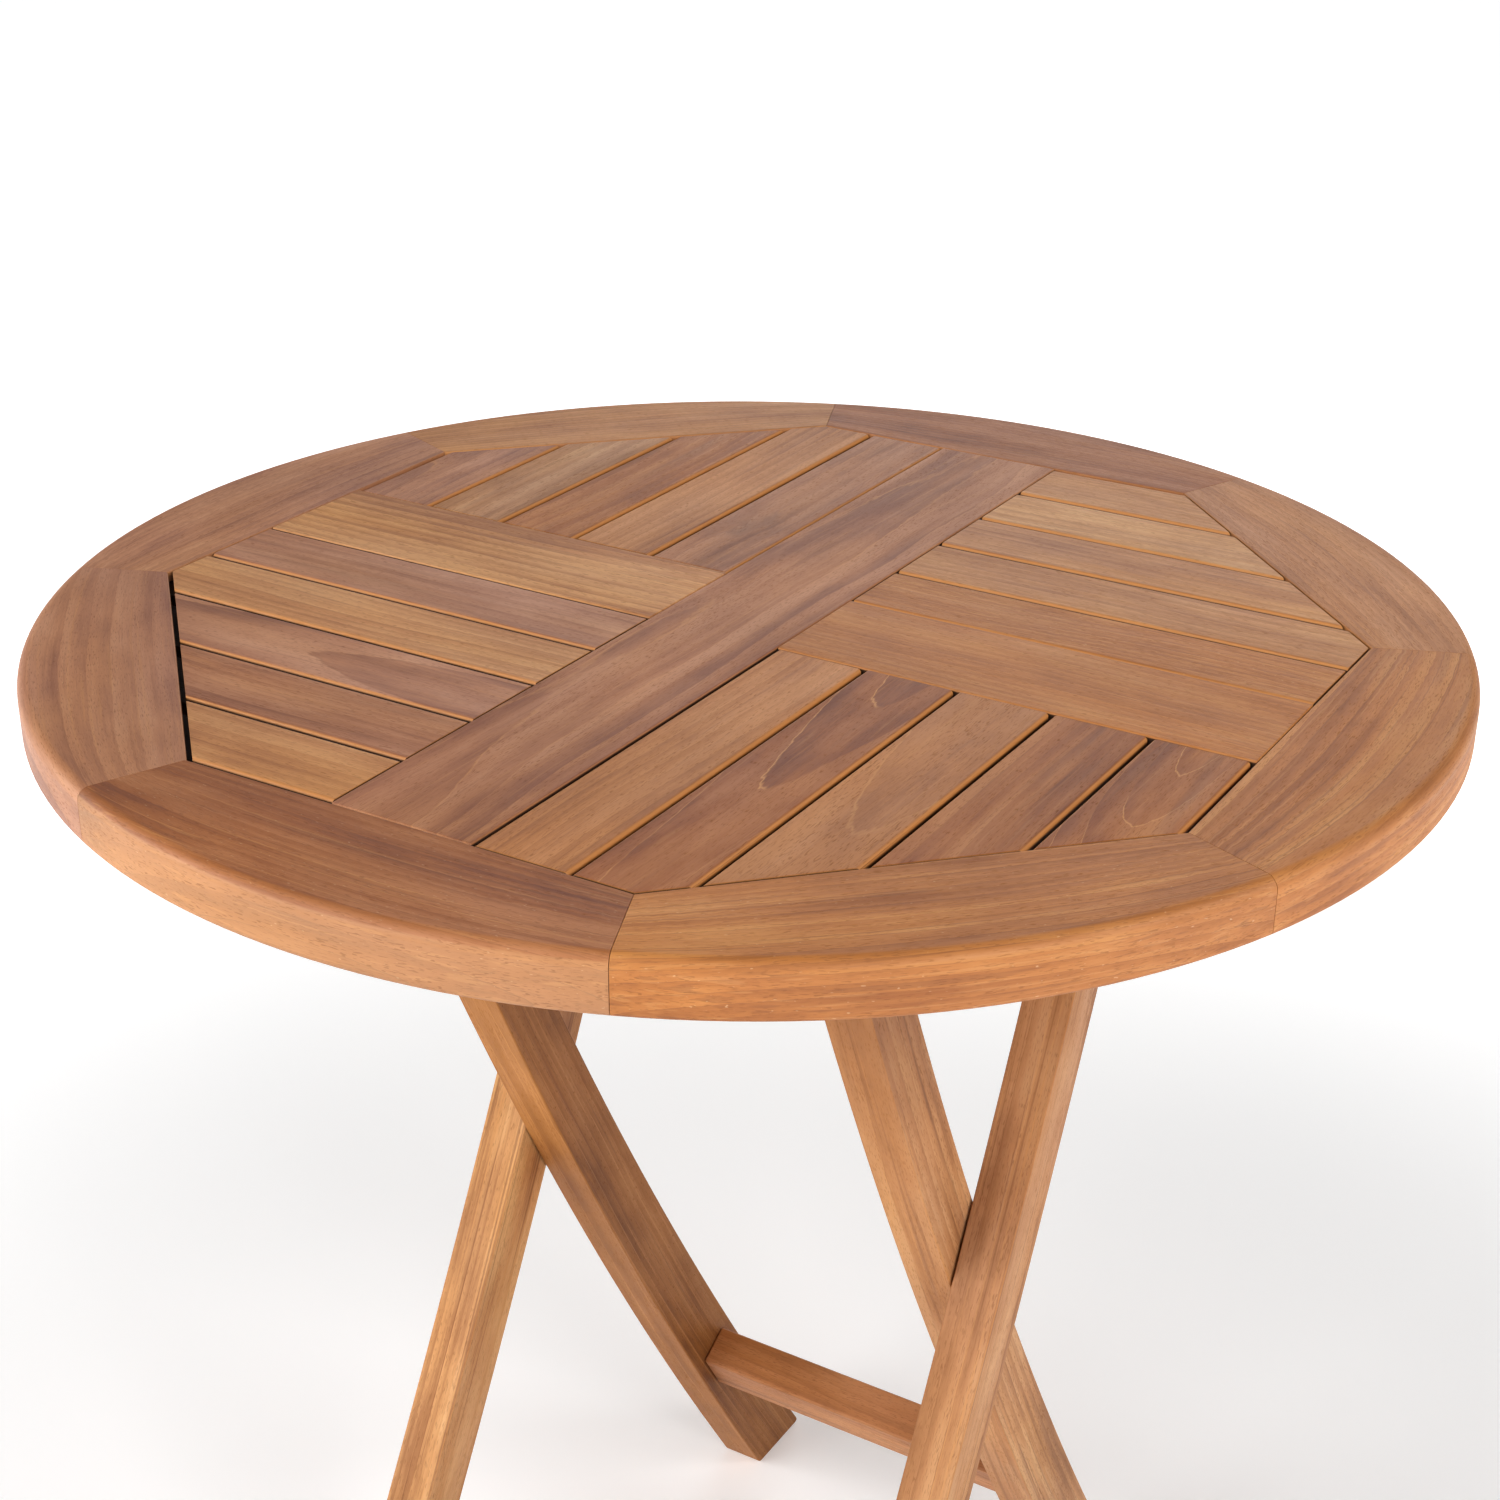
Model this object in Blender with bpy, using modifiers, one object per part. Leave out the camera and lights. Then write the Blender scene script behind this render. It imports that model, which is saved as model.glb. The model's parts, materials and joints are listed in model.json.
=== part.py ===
"""Round folding teak table: an octagon-panelled top on two crossing leg frames.

Metres, +Z up. The origin is on the floor under the middle of the top. X runs along the hinge and scissor
axes, and Y along the centre plank. The inner leg frame stands with its feet at +Y, the outer one at -Y.
The scissor pin joins the two frames, the outer legs' tops hinge on the battens under the top, and the
inner legs' tops bear in the catch rail.
"""

import math

import bmesh
import bpy
from mathutils import Matrix, Vector

# Driving dimensions of the top
HEIGHT = 0.750
TOP_RADIUS = 0.356
TOP_THICKNESS = 0.027
PANEL_APOTHEM = 0.282  # from the middle to each side of the rim's octagonal opening
BOARD_WIDTH = 0.073  # the centre plank and the cross rails
SLATS_PER_QUADRANT = 5
SLAT_THICKNESS = 0.020
SLAT_GAP = 0.0026
SLAT_ARRIS = 0.0018
RIM_TOP_ARRIS = 0.0060
RIM_BOTTOM_ARRIS = 0.0030
TONGUE_THICKNESS = 0.008
TONGUE_LENGTH = 0.0075
END_GAP = 0.0010  # at the slats' ends
OPEN_END_GAP = 0.0024  # the left quadrant's slats stop this short of the diagonal rim segment
FIT = 0.0003  # gap between pieces that touch

# Driving dimensions of the legs. t is the depth below the table's upper face, and a leg's middle line is at
# y = -LEG_TOP_Y + LEG_SLOPE * t + LEG_CURVE * t**2 on the inner frame, and mirrored on the outer one.
LEG_TOP_Y = 0.1563
LEG_SLOPE = 0.3973
LEG_CURVE = 0.1562
LEG_THICKNESS = 0.028
LEG_ARRIS = 0.0016
INNER_LEG_FACE = 0.110  # x of the inner legs' inner faces
LEG_SPACING = 0.0015  # between an inner and an outer leg
INNER_LEG_WIDTHS = (0.0330, 0.0460)  # at the top and at the floor
OUTER_LEG_WIDTHS = (0.0332, 0.0362)
HINGE_DEPTH = 0.047  # depth t of the top's hinge
BAR_DEPTH = 0.0555  # depth t of the inner frame's top bar
STRETCHER_DEPTH = 0.615
STRETCHER_SECTION = (0.026, 0.035)
LEG_STATIONS = 12

TOP_BAR_RADIUS = 0.012
TENON_LENGTH = 0.015
BATTEN_SPAN = (0.169, 0.191)  # x of a batten's two faces
BATTEN_HALF_LENGTH = 0.250
BATTEN_DEPTH = 0.034
PIN_RADIUS = 0.004
INSERT_RADIUS = 0.007

UNDERSIDE = HEIGHT - TOP_THICKNESS
BELOW = UNDERSIDE - FIT  # the upper face of what is fastened under the top
HALF_BOARD = BOARD_WIDTH / 2
TONGUE_MIDDLE = HEIGHT - SLAT_THICKNESS / 2
OUTER_LEG_FACE = INNER_LEG_FACE + LEG_THICKNESS + LEG_SPACING

TEAK = {
    "rim": (0.66, 0.46, 0.33),
    "rim_light": (0.74, 0.56, 0.42),
    "slat": (0.71, 0.53, 0.37),
    "slat_dark": (0.58, 0.40, 0.30),
    "plank": (0.64, 0.46, 0.34),
    "leg": (0.76, 0.54, 0.37),
    "hidden": (0.62, 0.44, 0.30),
}
BRASS = (0.80, 0.62, 0.32)
STEEL = (0.66, 0.66, 0.67)


def middle_y(t):
    """y of the inner legs' middle line at depth t."""
    return -LEG_TOP_Y + LEG_SLOPE * t + LEG_CURVE * t * t


def middle_slope(t):
    return LEG_SLOPE + 2 * LEG_CURVE * t


SCISSOR_DEPTH = (-LEG_SLOPE + math.sqrt(LEG_SLOPE**2 + 4 * LEG_CURVE * LEG_TOP_Y)) / (2 * LEG_CURVE)
SCISSOR_AXIS = Vector((0, 0, HEIGHT - SCISSOR_DEPTH))
HINGE_AXIS = Vector((0, -middle_y(HINGE_DEPTH), HEIGHT - HINGE_DEPTH))
BAR_AXIS = Vector((0, middle_y(BAR_DEPTH), HEIGHT - BAR_DEPTH))
BUTTON_AXIS = Vector((0, BAR_AXIS.y + 0.054, UNDERSIDE))


# Scene, materials and bodies


def start_scene():
    for old in list(bpy.data.objects):
        bpy.data.objects.remove(old)
    groups = []
    for name in ("round_folding_table", "cutters"):
        group = bpy.data.collections.new(name)
        bpy.context.scene.collection.children.link(group)
        groups.append(group)
    groups[1].hide_render = True
    return groups


PARTS, CUTTERS = start_scene()


def linear(colour):
    return tuple(c / 12.92 if c <= 0.04045 else ((c + 0.055) / 1.055) ** 2.4 for c in colour)


def finish(name, colour, roughness, metallic=0.0):
    made = bpy.data.materials.new(name + "_finish")
    made.use_nodes = True
    shader = made.node_tree.nodes["Principled BSDF"]
    shader.inputs["Base Color"].default_value = (*linear(colour), 1)
    shader.inputs["Roughness"].default_value = roughness
    shader.inputs["Metallic"].default_value = metallic
    made.diffuse_color = (*linear(colour), 1)
    return made


def wood(name, tone):
    return finish(name, TEAK[tone], 0.6)


def body(name, origin):
    """An empty on the body's joint axis. Every piece of the body is its child."""
    empty = bpy.data.objects.new(name, None)
    empty.location = origin
    empty.empty_display_size = 0.05
    PARTS.objects.link(empty)
    return empty


OUTER_FRAME = body("outer_frame_body", Vector((0, 0, 0)))
INNER_FRAME = body("inner_frame_body", SCISSOR_AXIS)
TABLE_TOP = body("table_top_body", HINGE_AXIS)
BUTTON = body("turn_button_body", BUTTON_AXIS)


def piece(name, mesh, holder, material):
    """Adds a mesh, built in world coordinates, as a child of its body's empty."""
    mesh.transform(Matrix.Translation(-holder.location))
    made = bpy.data.objects.new(name, mesh)
    made.parent = holder
    made.data.materials.append(material)
    PARTS.objects.link(made)
    return made


def helper(name, mesh):
    made = bpy.data.objects.new(name, mesh)
    made.display_type = "WIRE"
    made.hide_render = True
    CUTTERS.objects.link(made)
    return made


# Shapes


def finished(bm, name):
    bmesh.ops.recalc_face_normals(bm, faces=bm.faces)
    mesh = bpy.data.meshes.new(name)
    bm.to_mesh(mesh)
    bm.free()
    return mesh


def plate(name, outline, low, high, plane="XY"):
    """A flat outline made solid: in plane XY it runs from z = low to high, in plane YZ from x = low to high."""
    bm = bmesh.new()
    if plane == "XY":
        corners = [bm.verts.new((a, b, low)) for a, b in outline]
        along = Vector((0, 0, high - low))
    else:
        corners = [bm.verts.new((low, a, b)) for a, b in outline]
        along = Vector((high - low, 0, 0))
    face = bm.faces.new(corners)
    grown = bmesh.ops.extrude_face_region(bm, geom=[face])
    moved = [v for v in grown["geom"] if isinstance(v, bmesh.types.BMVert)]
    bmesh.ops.translate(bm, verts=moved, vec=along)
    return finished(bm, name)


def box(name, low, high):
    bm = bmesh.new()
    bmesh.ops.create_cube(bm, size=1)
    size = Vector(high) - Vector(low)
    bmesh.ops.scale(bm, vec=size, verts=bm.verts)
    bmesh.ops.translate(bm, vec=(Vector(low) + Vector(high)) / 2, verts=bm.verts)
    return finished(bm, name)


def rod(name, radius, start, end, sides=20):
    """A plain cylinder from one point to another."""
    start, end = Vector(start), Vector(end)
    bm = bmesh.new()
    bmesh.ops.create_cone(
        bm, cap_ends=True, segments=sides, radius1=radius, radius2=radius, depth=(end - start).length
    )
    turn = Vector((0, 0, 1)).rotation_difference(end - start).to_matrix().to_4x4()
    bmesh.ops.transform(bm, matrix=Matrix.Translation((start + end) / 2) @ turn, verts=bm.verts)
    return finished(bm, name)


def turned(name, profile, holder, material, place, turn=(0, 0, 0), ring=False, steps=20):
    """A turned piece: (radius, height) points from the top's middle, out and down to the bottom's middle."""
    bm = bmesh.new()
    points = [bm.verts.new((r, 0, h)) for r, h in profile]
    for a, b in zip(points, points[1:]):
        bm.edges.new((a, b))
    if ring:
        bm.edges.new((points[-1], points[0]))
    mesh = bpy.data.meshes.new(name)
    bm.to_mesh(mesh)
    bm.free()
    made = bpy.data.objects.new(name, mesh)
    made.parent = holder
    made.location = Vector(place) - holder.location
    made.rotation_euler = turn
    made.data.materials.append(material)
    PARTS.objects.link(made)
    screw = made.modifiers.new("turn", "SCREW")
    screw.steps = screw.render_steps = steps
    screw.use_merge_vertices = True
    screw.merge_threshold = 0.00005
    screw.use_smooth_shade = True
    return made


def ease(target, width, segments=2):
    made = target.modifiers.new("arris", "BEVEL")
    made.width = width
    made.segments = segments
    made.limit_method = "ANGLE"
    made.angle_limit = math.radians(35)
    made.harden_normals = False
    return target


def join(target, other):
    made = target.modifiers.new("join_" + other.name, "BOOLEAN")
    made.operation = "UNION"
    made.object = other


def cut(target, other):
    made = target.modifiers.new("cut_" + other.name, "BOOLEAN")
    made.operation = "DIFFERENCE"
    made.object = other


def arc(middle, radius, start, end, steps):
    """Points on an arc from one angle to another, in degrees."""
    angles = [math.radians(start + (end - start) * k / steps) for k in range(steps + 1)]
    return [(middle[0] + radius * math.cos(a), middle[1] + radius * math.sin(a)) for a in angles]


# The top


def rim_profile(apothem_at):
    """(radius, z) of a rim segment's section. apothem_at turns a distance from the octagon's side to a radius."""
    ease_in = 0.0012
    groove_low = TONGUE_MIDDLE - TONGUE_THICKNESS / 2 - FIT
    groove_high = TONGUE_MIDDLE + TONGUE_THICKNESS / 2 + FIT
    lower = arc((TOP_RADIUS - RIM_BOTTOM_ARRIS, UNDERSIDE + RIM_BOTTOM_ARRIS), RIM_BOTTOM_ARRIS, -90, 0, 2)
    upper = arc((TOP_RADIUS - RIM_TOP_ARRIS, HEIGHT - RIM_TOP_ARRIS), RIM_TOP_ARRIS, 0, 90, 5)
    inner = [
        (apothem_at(ease_in), HEIGHT),
        (apothem_at(0), HEIGHT - ease_in),
        (apothem_at(0), groove_high),
        (apothem_at(TONGUE_LENGTH + 2 * FIT), groove_high),
        (apothem_at(TONGUE_LENGTH + 2 * FIT), groove_low),
        (apothem_at(0), groove_low),
        (apothem_at(0), UNDERSIDE + ease_in),
        (apothem_at(ease_in), UNDERSIDE),
    ]
    return lower + upper + inner


def rim_segment(number):
    """One of eight: straight inside, round outside, mitred at the octagon's corners. Number 1 faces +Y."""
    steps = 10
    half_angle = math.pi / 8
    facing = math.pi / 2 - (number - 1) * math.pi / 4
    bm = bmesh.new()
    sections = []
    for k in range(steps + 1):
        angle = -half_angle + 2 * half_angle * k / steps
        pull = {0: FIT / 2, steps: -FIT / 2}.get(k, 0)  # half the hairline gap of a mitre
        across = Vector((-math.sin(facing + angle), math.cos(facing + angle), 0)) * pull
        out = Vector((math.cos(facing + angle), math.sin(facing + angle), 0))
        profile = rim_profile(lambda beyond: (PANEL_APOTHEM + beyond) / math.cos(angle))
        sections.append([bm.verts.new(out * r + across + Vector((0, 0, z))) for r, z in profile])
    count = len(sections[0])
    for first, second in zip(sections, sections[1:]):
        for i in range(count):
            j = (i + 1) % count
            bm.faces.new((first[i], first[j], second[j], second[i]))
    bm.faces.new(sections[0])
    bm.faces.new(sections[-1])
    name = f"rim_segment_{number}"
    tone = "rim_light" if number in (1, 4, 5) else "rim"
    made = piece(name, finished(bm, name), TABLE_TOP, wood(name, tone))
    made.data.shade_smooth()
    made.data.set_sharp_from_angle(angle=math.radians(30))
    return made


def tongue(name, outline):
    low = TONGUE_MIDDLE - TONGUE_THICKNESS / 2
    return helper(name + "_tongue", plate(name + "_tongue", outline, low, low + TONGUE_THICKNESS))


def rectangle(x_low, x_high, y_low, y_high):
    return [(x_low, y_low), (x_high, y_low), (x_high, y_high), (x_low, y_high)]


def side_groove(name, low, high):
    """A cutter as thick as a tongue and its clearance, over the rectangle from low to high."""
    reach = TONGUE_THICKNESS / 2 + FIT
    lower, upper = (*low, TONGUE_MIDDLE - reach), (*high, TONGUE_MIDDLE + reach)
    return helper(name, box(name, lower, upper))


def centre_plank():
    end = PANEL_APOTHEM - FIT
    long_side = rectangle(-HALF_BOARD, HALF_BOARD, -end, end)
    made = piece("centre_plank", plate("centre_plank", long_side, UNDERSIDE, HEIGHT), TABLE_TOP,
                 wood("centre_plank", "plank"))
    ease(made, 0.0010, 1)
    reach = PANEL_APOTHEM + TONGUE_LENGTH
    narrow = HALF_BOARD - 0.012
    join(made, tongue("centre_plank", rectangle(-narrow, narrow, -reach, reach)))
    depth = HALF_BOARD - TONGUE_LENGTH - 2 * FIT
    for side, sign in (("left", -1), ("right", 1)):
        edges = sorted((sign * depth, sign * (HALF_BOARD + 0.01)))
        cut(made, side_groove("plank_groove_" + side, (edges[0], -end - 0.01), (edges[1], end + 0.01)))


def cross_rail(side, sign):
    name = "cross_rail_" + side
    inner, outer = HALF_BOARD + FIT, PANEL_APOTHEM - FIT
    x_low, x_high = sorted((sign * inner, sign * outer))
    outline = rectangle(x_low, x_high, -HALF_BOARD, HALF_BOARD)
    made = piece(name, plate(name, outline, UNDERSIDE, HEIGHT), TABLE_TOP, wood(name, "plank"))
    ease(made, 0.0010, 1)
    x_low, x_high = sorted((sign * (inner - TONGUE_LENGTH), sign * (outer + TONGUE_LENGTH)))
    narrow = HALF_BOARD - 0.012
    join(made, tongue(name, rectangle(x_low, x_high, -narrow, narrow)))
    depth = HALF_BOARD - TONGUE_LENGTH - 2 * FIT
    for end, way in (("front", -1), ("back", 1)):
        edges = sorted((way * depth, way * (HALF_BOARD + 0.01)))
        cut(made, side_groove(f"{name}_groove_{end}", (x_low - 0.01, edges[0]), (x_high + 0.01, edges[1])))


def clipped(outline, normal, limit):
    """The part of a convex outline where the point's distance along normal stays under limit."""
    kept = []
    for (a, b), (c, d) in zip(outline, outline[1:] + outline[:1]):
        here, there = a * normal[0] + b * normal[1] - limit, c * normal[0] + d * normal[1] - limit
        if here <= 0:
            kept.append((a, b))
        if here * there < 0:
            share = here / (here - there)
            kept.append((a + (c - a) * share, b + (d - b) * share))
    return kept


def slat_outline(low, high, start, flat_end, diagonal_end):
    """A strip across the quadrant from low to high, cut at the octagon's flat side and its diagonal side."""
    strip = rectangle(low, high, start, flat_end)
    return clipped(strip, (math.sqrt(0.5), math.sqrt(0.5)), diagonal_end)


def slat(quadrant, number, to_world, diagonal_gap):
    """to_world turns (across, along) distances from the middle of the top to x and y."""
    name = f"slat_{quadrant}_{number}"
    pitch = (PANEL_APOTHEM - HALF_BOARD - SLAT_GAP / 2) / SLATS_PER_QUADRANT
    low = HALF_BOARD + SLAT_GAP / 2 + (number - 1) * pitch
    high = low + pitch - SLAT_GAP
    start, flat_end = HALF_BOARD + END_GAP, PANEL_APOTHEM - END_GAP
    shape = slat_outline(low, high, start, flat_end, PANEL_APOTHEM - diagonal_gap)
    underside = HEIGHT - SLAT_THICKNESS
    tone = "slat_dark" if (number + len(quadrant)) % 3 == 0 else "slat"
    made = piece(name, plate(name, [to_world(*p) for p in shape], underside, HEIGHT), TABLE_TOP, wood(name, tone))
    ease(made, SLAT_ARRIS)
    inset = 0.0035  # of the tongue's sides from the slat's
    reach = PANEL_APOTHEM + TONGUE_LENGTH
    reach = slat_outline(low + inset, high - inset, HALF_BOARD - TONGUE_LENGTH, reach, reach)
    join(made, tongue(name, [to_world(*p) for p in reach]))


def table_top():
    rim = [rim_segment(number) for number in range(1, 9)]
    centre_plank()
    cross_rail("left", -1)
    cross_rail("right", 1)
    quadrants = {
        "front": (lambda across, along: (across, -along), END_GAP),
        "right": (lambda across, along: (along, across), END_GAP),
        "back": (lambda across, along: (-across, along), END_GAP),
        "left": (lambda across, along: (-along, -across), OPEN_END_GAP),
    }
    for quadrant, (to_world, diagonal_gap) in quadrants.items():
        for number in range(1, SLATS_PER_QUADRANT + 1):
            slat(quadrant, number, to_world, diagonal_gap)
    return rim


# What is fastened under the top


def batten(side, sign, rim):
    name = "batten_" + side
    low, high = sorted((sign * BATTEN_SPAN[0], sign * BATTEN_SPAN[1]))
    bottom, tip, shoulder = BELOW - BATTEN_DEPTH, BELOW - 0.012, BATTEN_HALF_LENGTH - 0.045
    half = [(shoulder, bottom), (BATTEN_HALF_LENGTH, tip), (BATTEN_HALF_LENGTH, BELOW)]
    outline = half + [(-y, z) for y, z in reversed(half)]
    made = piece(name, plate(name, outline, low, high, "YZ"), TABLE_TOP, wood(name, "hidden"))
    ease(made, 0.0015, 1)
    x_out = sign * (BATTEN_SPAN[1] + 0.01)
    x_in = sign * (BATTEN_SPAN[0] - 0.01)
    hole = rod(name + "_hinge_hole", PIN_RADIUS + FIT, (x_in, *HINGE_AXIS.yz), (x_out, *HINGE_AXIS.yz))
    cut(made, helper(name + "_hinge_hole", hole))
    for end, way in (("front", -1), ("back", 1)):
        place = Vector((sign * sum(BATTEN_SPAN) / 2, way * 0.238, BELOW))
        holes = screw_hole(f"{name}_{end}_hole", place)
        for target in (made, rim_under(rim, place)):
            for hole_piece in holes:
                cut(target, hole_piece)
        batten_screw(f"batten_screw_{side}_{end}", place)


def rim_under(rim, place):
    """The diagonal rim segment over a screw."""
    turn = math.pi / 2 - math.atan2(place.y, place.x)
    return rim[round(turn / (math.pi / 4)) % 8]


SCREW_RADIUS = 0.002
SCREW_HEAD_RADIUS = 0.004
SCREW_SEAT = 0.0110  # from the batten's upper face down to the underside of the head
SCREW_REACH = 0.0185  # into the rim


def screw_hole(name, place):
    shank = rod(name + "_shank", SCREW_RADIUS + FIT, place - Vector((0, 0, 0.04)),
                place + Vector((0, 0, SCREW_REACH + FIT)), 12)
    bore = rod(name + "_bore", SCREW_HEAD_RADIUS + FIT, place - Vector((0, 0, 0.04)),
               place - Vector((0, 0, SCREW_SEAT - FIT)), 12)
    return [helper(name + "_shank", shank), helper(name + "_bore", bore)]


def batten_screw(name, place):
    head = 0.0024
    profile = [
        (0, SCREW_REACH),
        (SCREW_RADIUS * 0.5, SCREW_REACH - 0.002),
        (SCREW_RADIUS, SCREW_REACH - 0.005),
        (SCREW_RADIUS, -SCREW_SEAT),
        (SCREW_HEAD_RADIUS, -SCREW_SEAT),
        (SCREW_HEAD_RADIUS, -SCREW_SEAT - head * 0.6),
        (SCREW_HEAD_RADIUS * 0.7, -SCREW_SEAT - head),
        (0, -SCREW_SEAT - head),
    ]
    turned(name, profile, TABLE_TOP, finish(name, BRASS, 0.35, 1.0), place, steps=12)


def catch_rail():
    """A hook-shaped rail: its front lip stops the inner legs' round tops, and it is open behind them."""
    reach = half_width(BAR_DEPTH, INNER_LEG_WIDTHS) + 0.0005
    y, z = BAR_AXIS.y, BAR_AXIS.z
    front, back, lip = y - 0.0385, y + 0.0335, z - 0.0045
    hook = arc((y, z), reach, 180, 90, 6)
    outline = [(front, BELOW), (front, lip), (y - reach, lip)] + hook + [(back, z + reach), (back, BELOW)]
    half = BATTEN_SPAN[0] - FIT
    made = piece("catch_rail", plate("catch_rail", outline, -half, half, "YZ"), TABLE_TOP,
                 wood("catch_rail", "hidden"))
    ease(made, 0.0012, 1)


BUTTON_THICKNESS = 0.012
BUTTON_GAP = 0.0018  # under the top bar


def turn_button():
    """A block under the plank carries a wooden button that turns under the top bar and locks it."""
    upper = BAR_AXIS.z - TOP_BAR_RADIUS - BUTTON_GAP
    lower = upper - BUTTON_THICKNESS
    block = piece(
        "latch_block",
        box("latch_block", (-0.020, BUTTON_AXIS.y - 0.019, upper + 0.0005), (0.020, BUTTON_AXIS.y + 0.019, BELOW)),
        TABLE_TOP,
        wood("latch_block", "hidden"),
    )
    ease(block, 0.0015, 1)
    half, long_arm, short_arm = 0.011, 0.052, 0.007
    outline = arc((long_arm, BUTTON_AXIS.y), half, -90, 90, 8)
    outline += arc((-short_arm, BUTTON_AXIS.y), half, 90, 270, 8)
    button = piece("turn_button", plate("turn_button", outline, lower, upper), BUTTON,
                   wood("turn_button", "leg"))
    ease(button, 0.0015, 1)
    x, y = BUTTON_AXIS.xy
    shank_top = upper + 0.022
    hole = rod("turn_button_hole", SCREW_RADIUS + FIT, (x, y, lower - 0.01), (x, y, shank_top + FIT), 12)
    hole = helper("turn_button_hole", hole)
    cut(block, hole)
    cut(button, hole)
    under = lower - 0.0005
    head_radius, head = 0.0048, 0.0030
    profile = [
        (0, shank_top),
        (SCREW_RADIUS, shank_top - 0.002),
        (SCREW_RADIUS, under),
        (head_radius, under),
        (head_radius, under - head * 0.4),
        (head_radius * 0.7, under - head * 0.85),
        (0, under - head),
    ]
    turned("turn_button_screw", profile, TABLE_TOP, finish("turn_button_screw", BRASS, 0.35, 1.0), (x, y, 0),
           steps=12)


# Legs


def half_width(t, widths):
    return (widths[0] + (widths[1] - widths[0]) * t / HEIGHT) / 2


def leg_side(t, widths, way):
    """(y, z) on an inner leg's front (way -1) or back (way 1) edge, square to the middle line at depth t."""
    slope = middle_slope(t)
    length = math.hypot(1, slope)
    half = half_width(t, widths)
    return middle_y(t) + way * half / length, HEIGHT - t + way * half * slope / length


def floor_depth(widths, way):
    """The depth t at which that edge meets the floor."""
    low, high = 0.5, 1.0
    for _ in range(40):
        t = (low + high) / 2
        if leg_side(t, widths, way)[1] > 0:
            low = t
        else:
            high = t
    return low


def softened(before, corner, after, radius, steps=3):
    """A rounded corner: a quadratic curve between points at that distance along its two sides."""
    corner, before, after = Vector(corner), Vector(before), Vector(after)
    start = corner + (before - corner).normalized() * radius
    end = corner + (after - corner).normalized() * radius
    shares = [k / steps for k in range(steps + 1)]
    return [tuple(start * (1 - s) ** 2 + corner * 2 * s * (1 - s) + end * s * s) for s in shares]


def leg_outline(start, widths, mirrored):
    """The outline in (y, z) of a curved leg with a round top about its middle line at depth start."""
    edges = {}
    for way in (-1, 1):
        end = floor_depth(widths, way)
        depths = [start + (end - start) * k / LEG_STATIONS for k in range(LEG_STATIONS + 1)]
        edges[way] = [leg_side(t, widths, way) for t in depths]
    front, back = edges[-1], edges[1]
    toe = softened(front[-2], front[-1], back[-1], 0.003)
    heel = softened(front[-1], back[-1], back[-2], 0.005)
    half = half_width(start, widths)
    lean = math.degrees(math.atan(middle_slope(start)))
    crown = arc((middle_y(start), HEIGHT - start), half, lean, 180 + lean, 10)[1:-1]
    outline = front[:-1] + toe + heel + back[-2::-1] + crown
    return [(-y, z) for y, z in outline] if mirrored else outline


def leg(name, face, sign, start, widths, holder, mirrored):
    low, high = sorted((sign * face, sign * (face + LEG_THICKNESS)))
    mesh = plate(name, leg_outline(start, widths, mirrored), low, high, "YZ")
    made = piece(name, mesh, holder, wood(name, "leg"))
    return ease(made, LEG_ARRIS)


def stretcher(name, half_length, holder, way, legs):
    """A bar tenoned into a pair of legs, turned to lie along them. way is 1 on the inner frame, -1 on the outer."""
    t = STRETCHER_DEPTH
    middle = Vector((0, way * middle_y(t), HEIGHT - t))
    turn = Matrix.Rotation(way * math.atan(middle_slope(t)), 4, "X")
    thick, deep = STRETCHER_SECTION
    inside = half_length - FIT

    def bar(label, half_x, half_y, half_z):
        mesh = box(label, (-half_x, -half_y, -half_z), (half_x, half_y, half_z))
        mesh.transform(Matrix.Translation(middle) @ turn)
        return mesh

    made = piece(name, bar(name, inside, thick / 2, deep / 2), holder, wood(name, "leg"))
    ease(made, LEG_ARRIS)
    tenon = bar(name + "_tenon", half_length + TENON_LENGTH - FIT, thick / 2 - 0.006, deep / 2 - 0.007)
    join(made, helper(name + "_tenon", tenon))
    mortise = bar(name + "_mortise", half_length + TENON_LENGTH, thick / 2 - 0.006 + FIT, deep / 2 - 0.007 + FIT)
    mortise = helper(name + "_mortise", mortise)
    for target in legs:
        cut(target, mortise)


def top_bar(legs):
    inside = INNER_LEG_FACE - FIT

    def across(x):
        return Vector((x, BAR_AXIS.y, BAR_AXIS.z))

    mesh = rod("inner_top_bar", TOP_BAR_RADIUS, across(-inside), across(inside), 32)
    made = piece("inner_top_bar", mesh, INNER_FRAME, wood("inner_top_bar", "leg"))
    made.data.shade_smooth()
    made.data.set_sharp_from_angle(angle=math.radians(40))
    reach, tenon_radius = INNER_LEG_FACE + TENON_LENGTH, 0.008
    tenon = rod("inner_top_bar_tenon", tenon_radius, across(-reach + FIT), across(reach - FIT))
    join(made, helper("inner_top_bar_tenon", tenon))
    socket = helper("inner_top_bar_socket", rod("inner_top_bar_socket", tenon_radius + FIT, across(-reach),
                                                across(reach)))
    for target in legs:
        cut(target, socket)


def bore(target, name, radius, axis, x_start, x_end):
    cut(target, helper(name, rod(name, radius, (x_start, axis.y, axis.z), (x_end, axis.y, axis.z))))


def ring_profile(outer, inner, thickness):
    half = thickness / 2
    return [(inner, half), (outer, half), (outer, -half), (inner, -half)]


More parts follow.
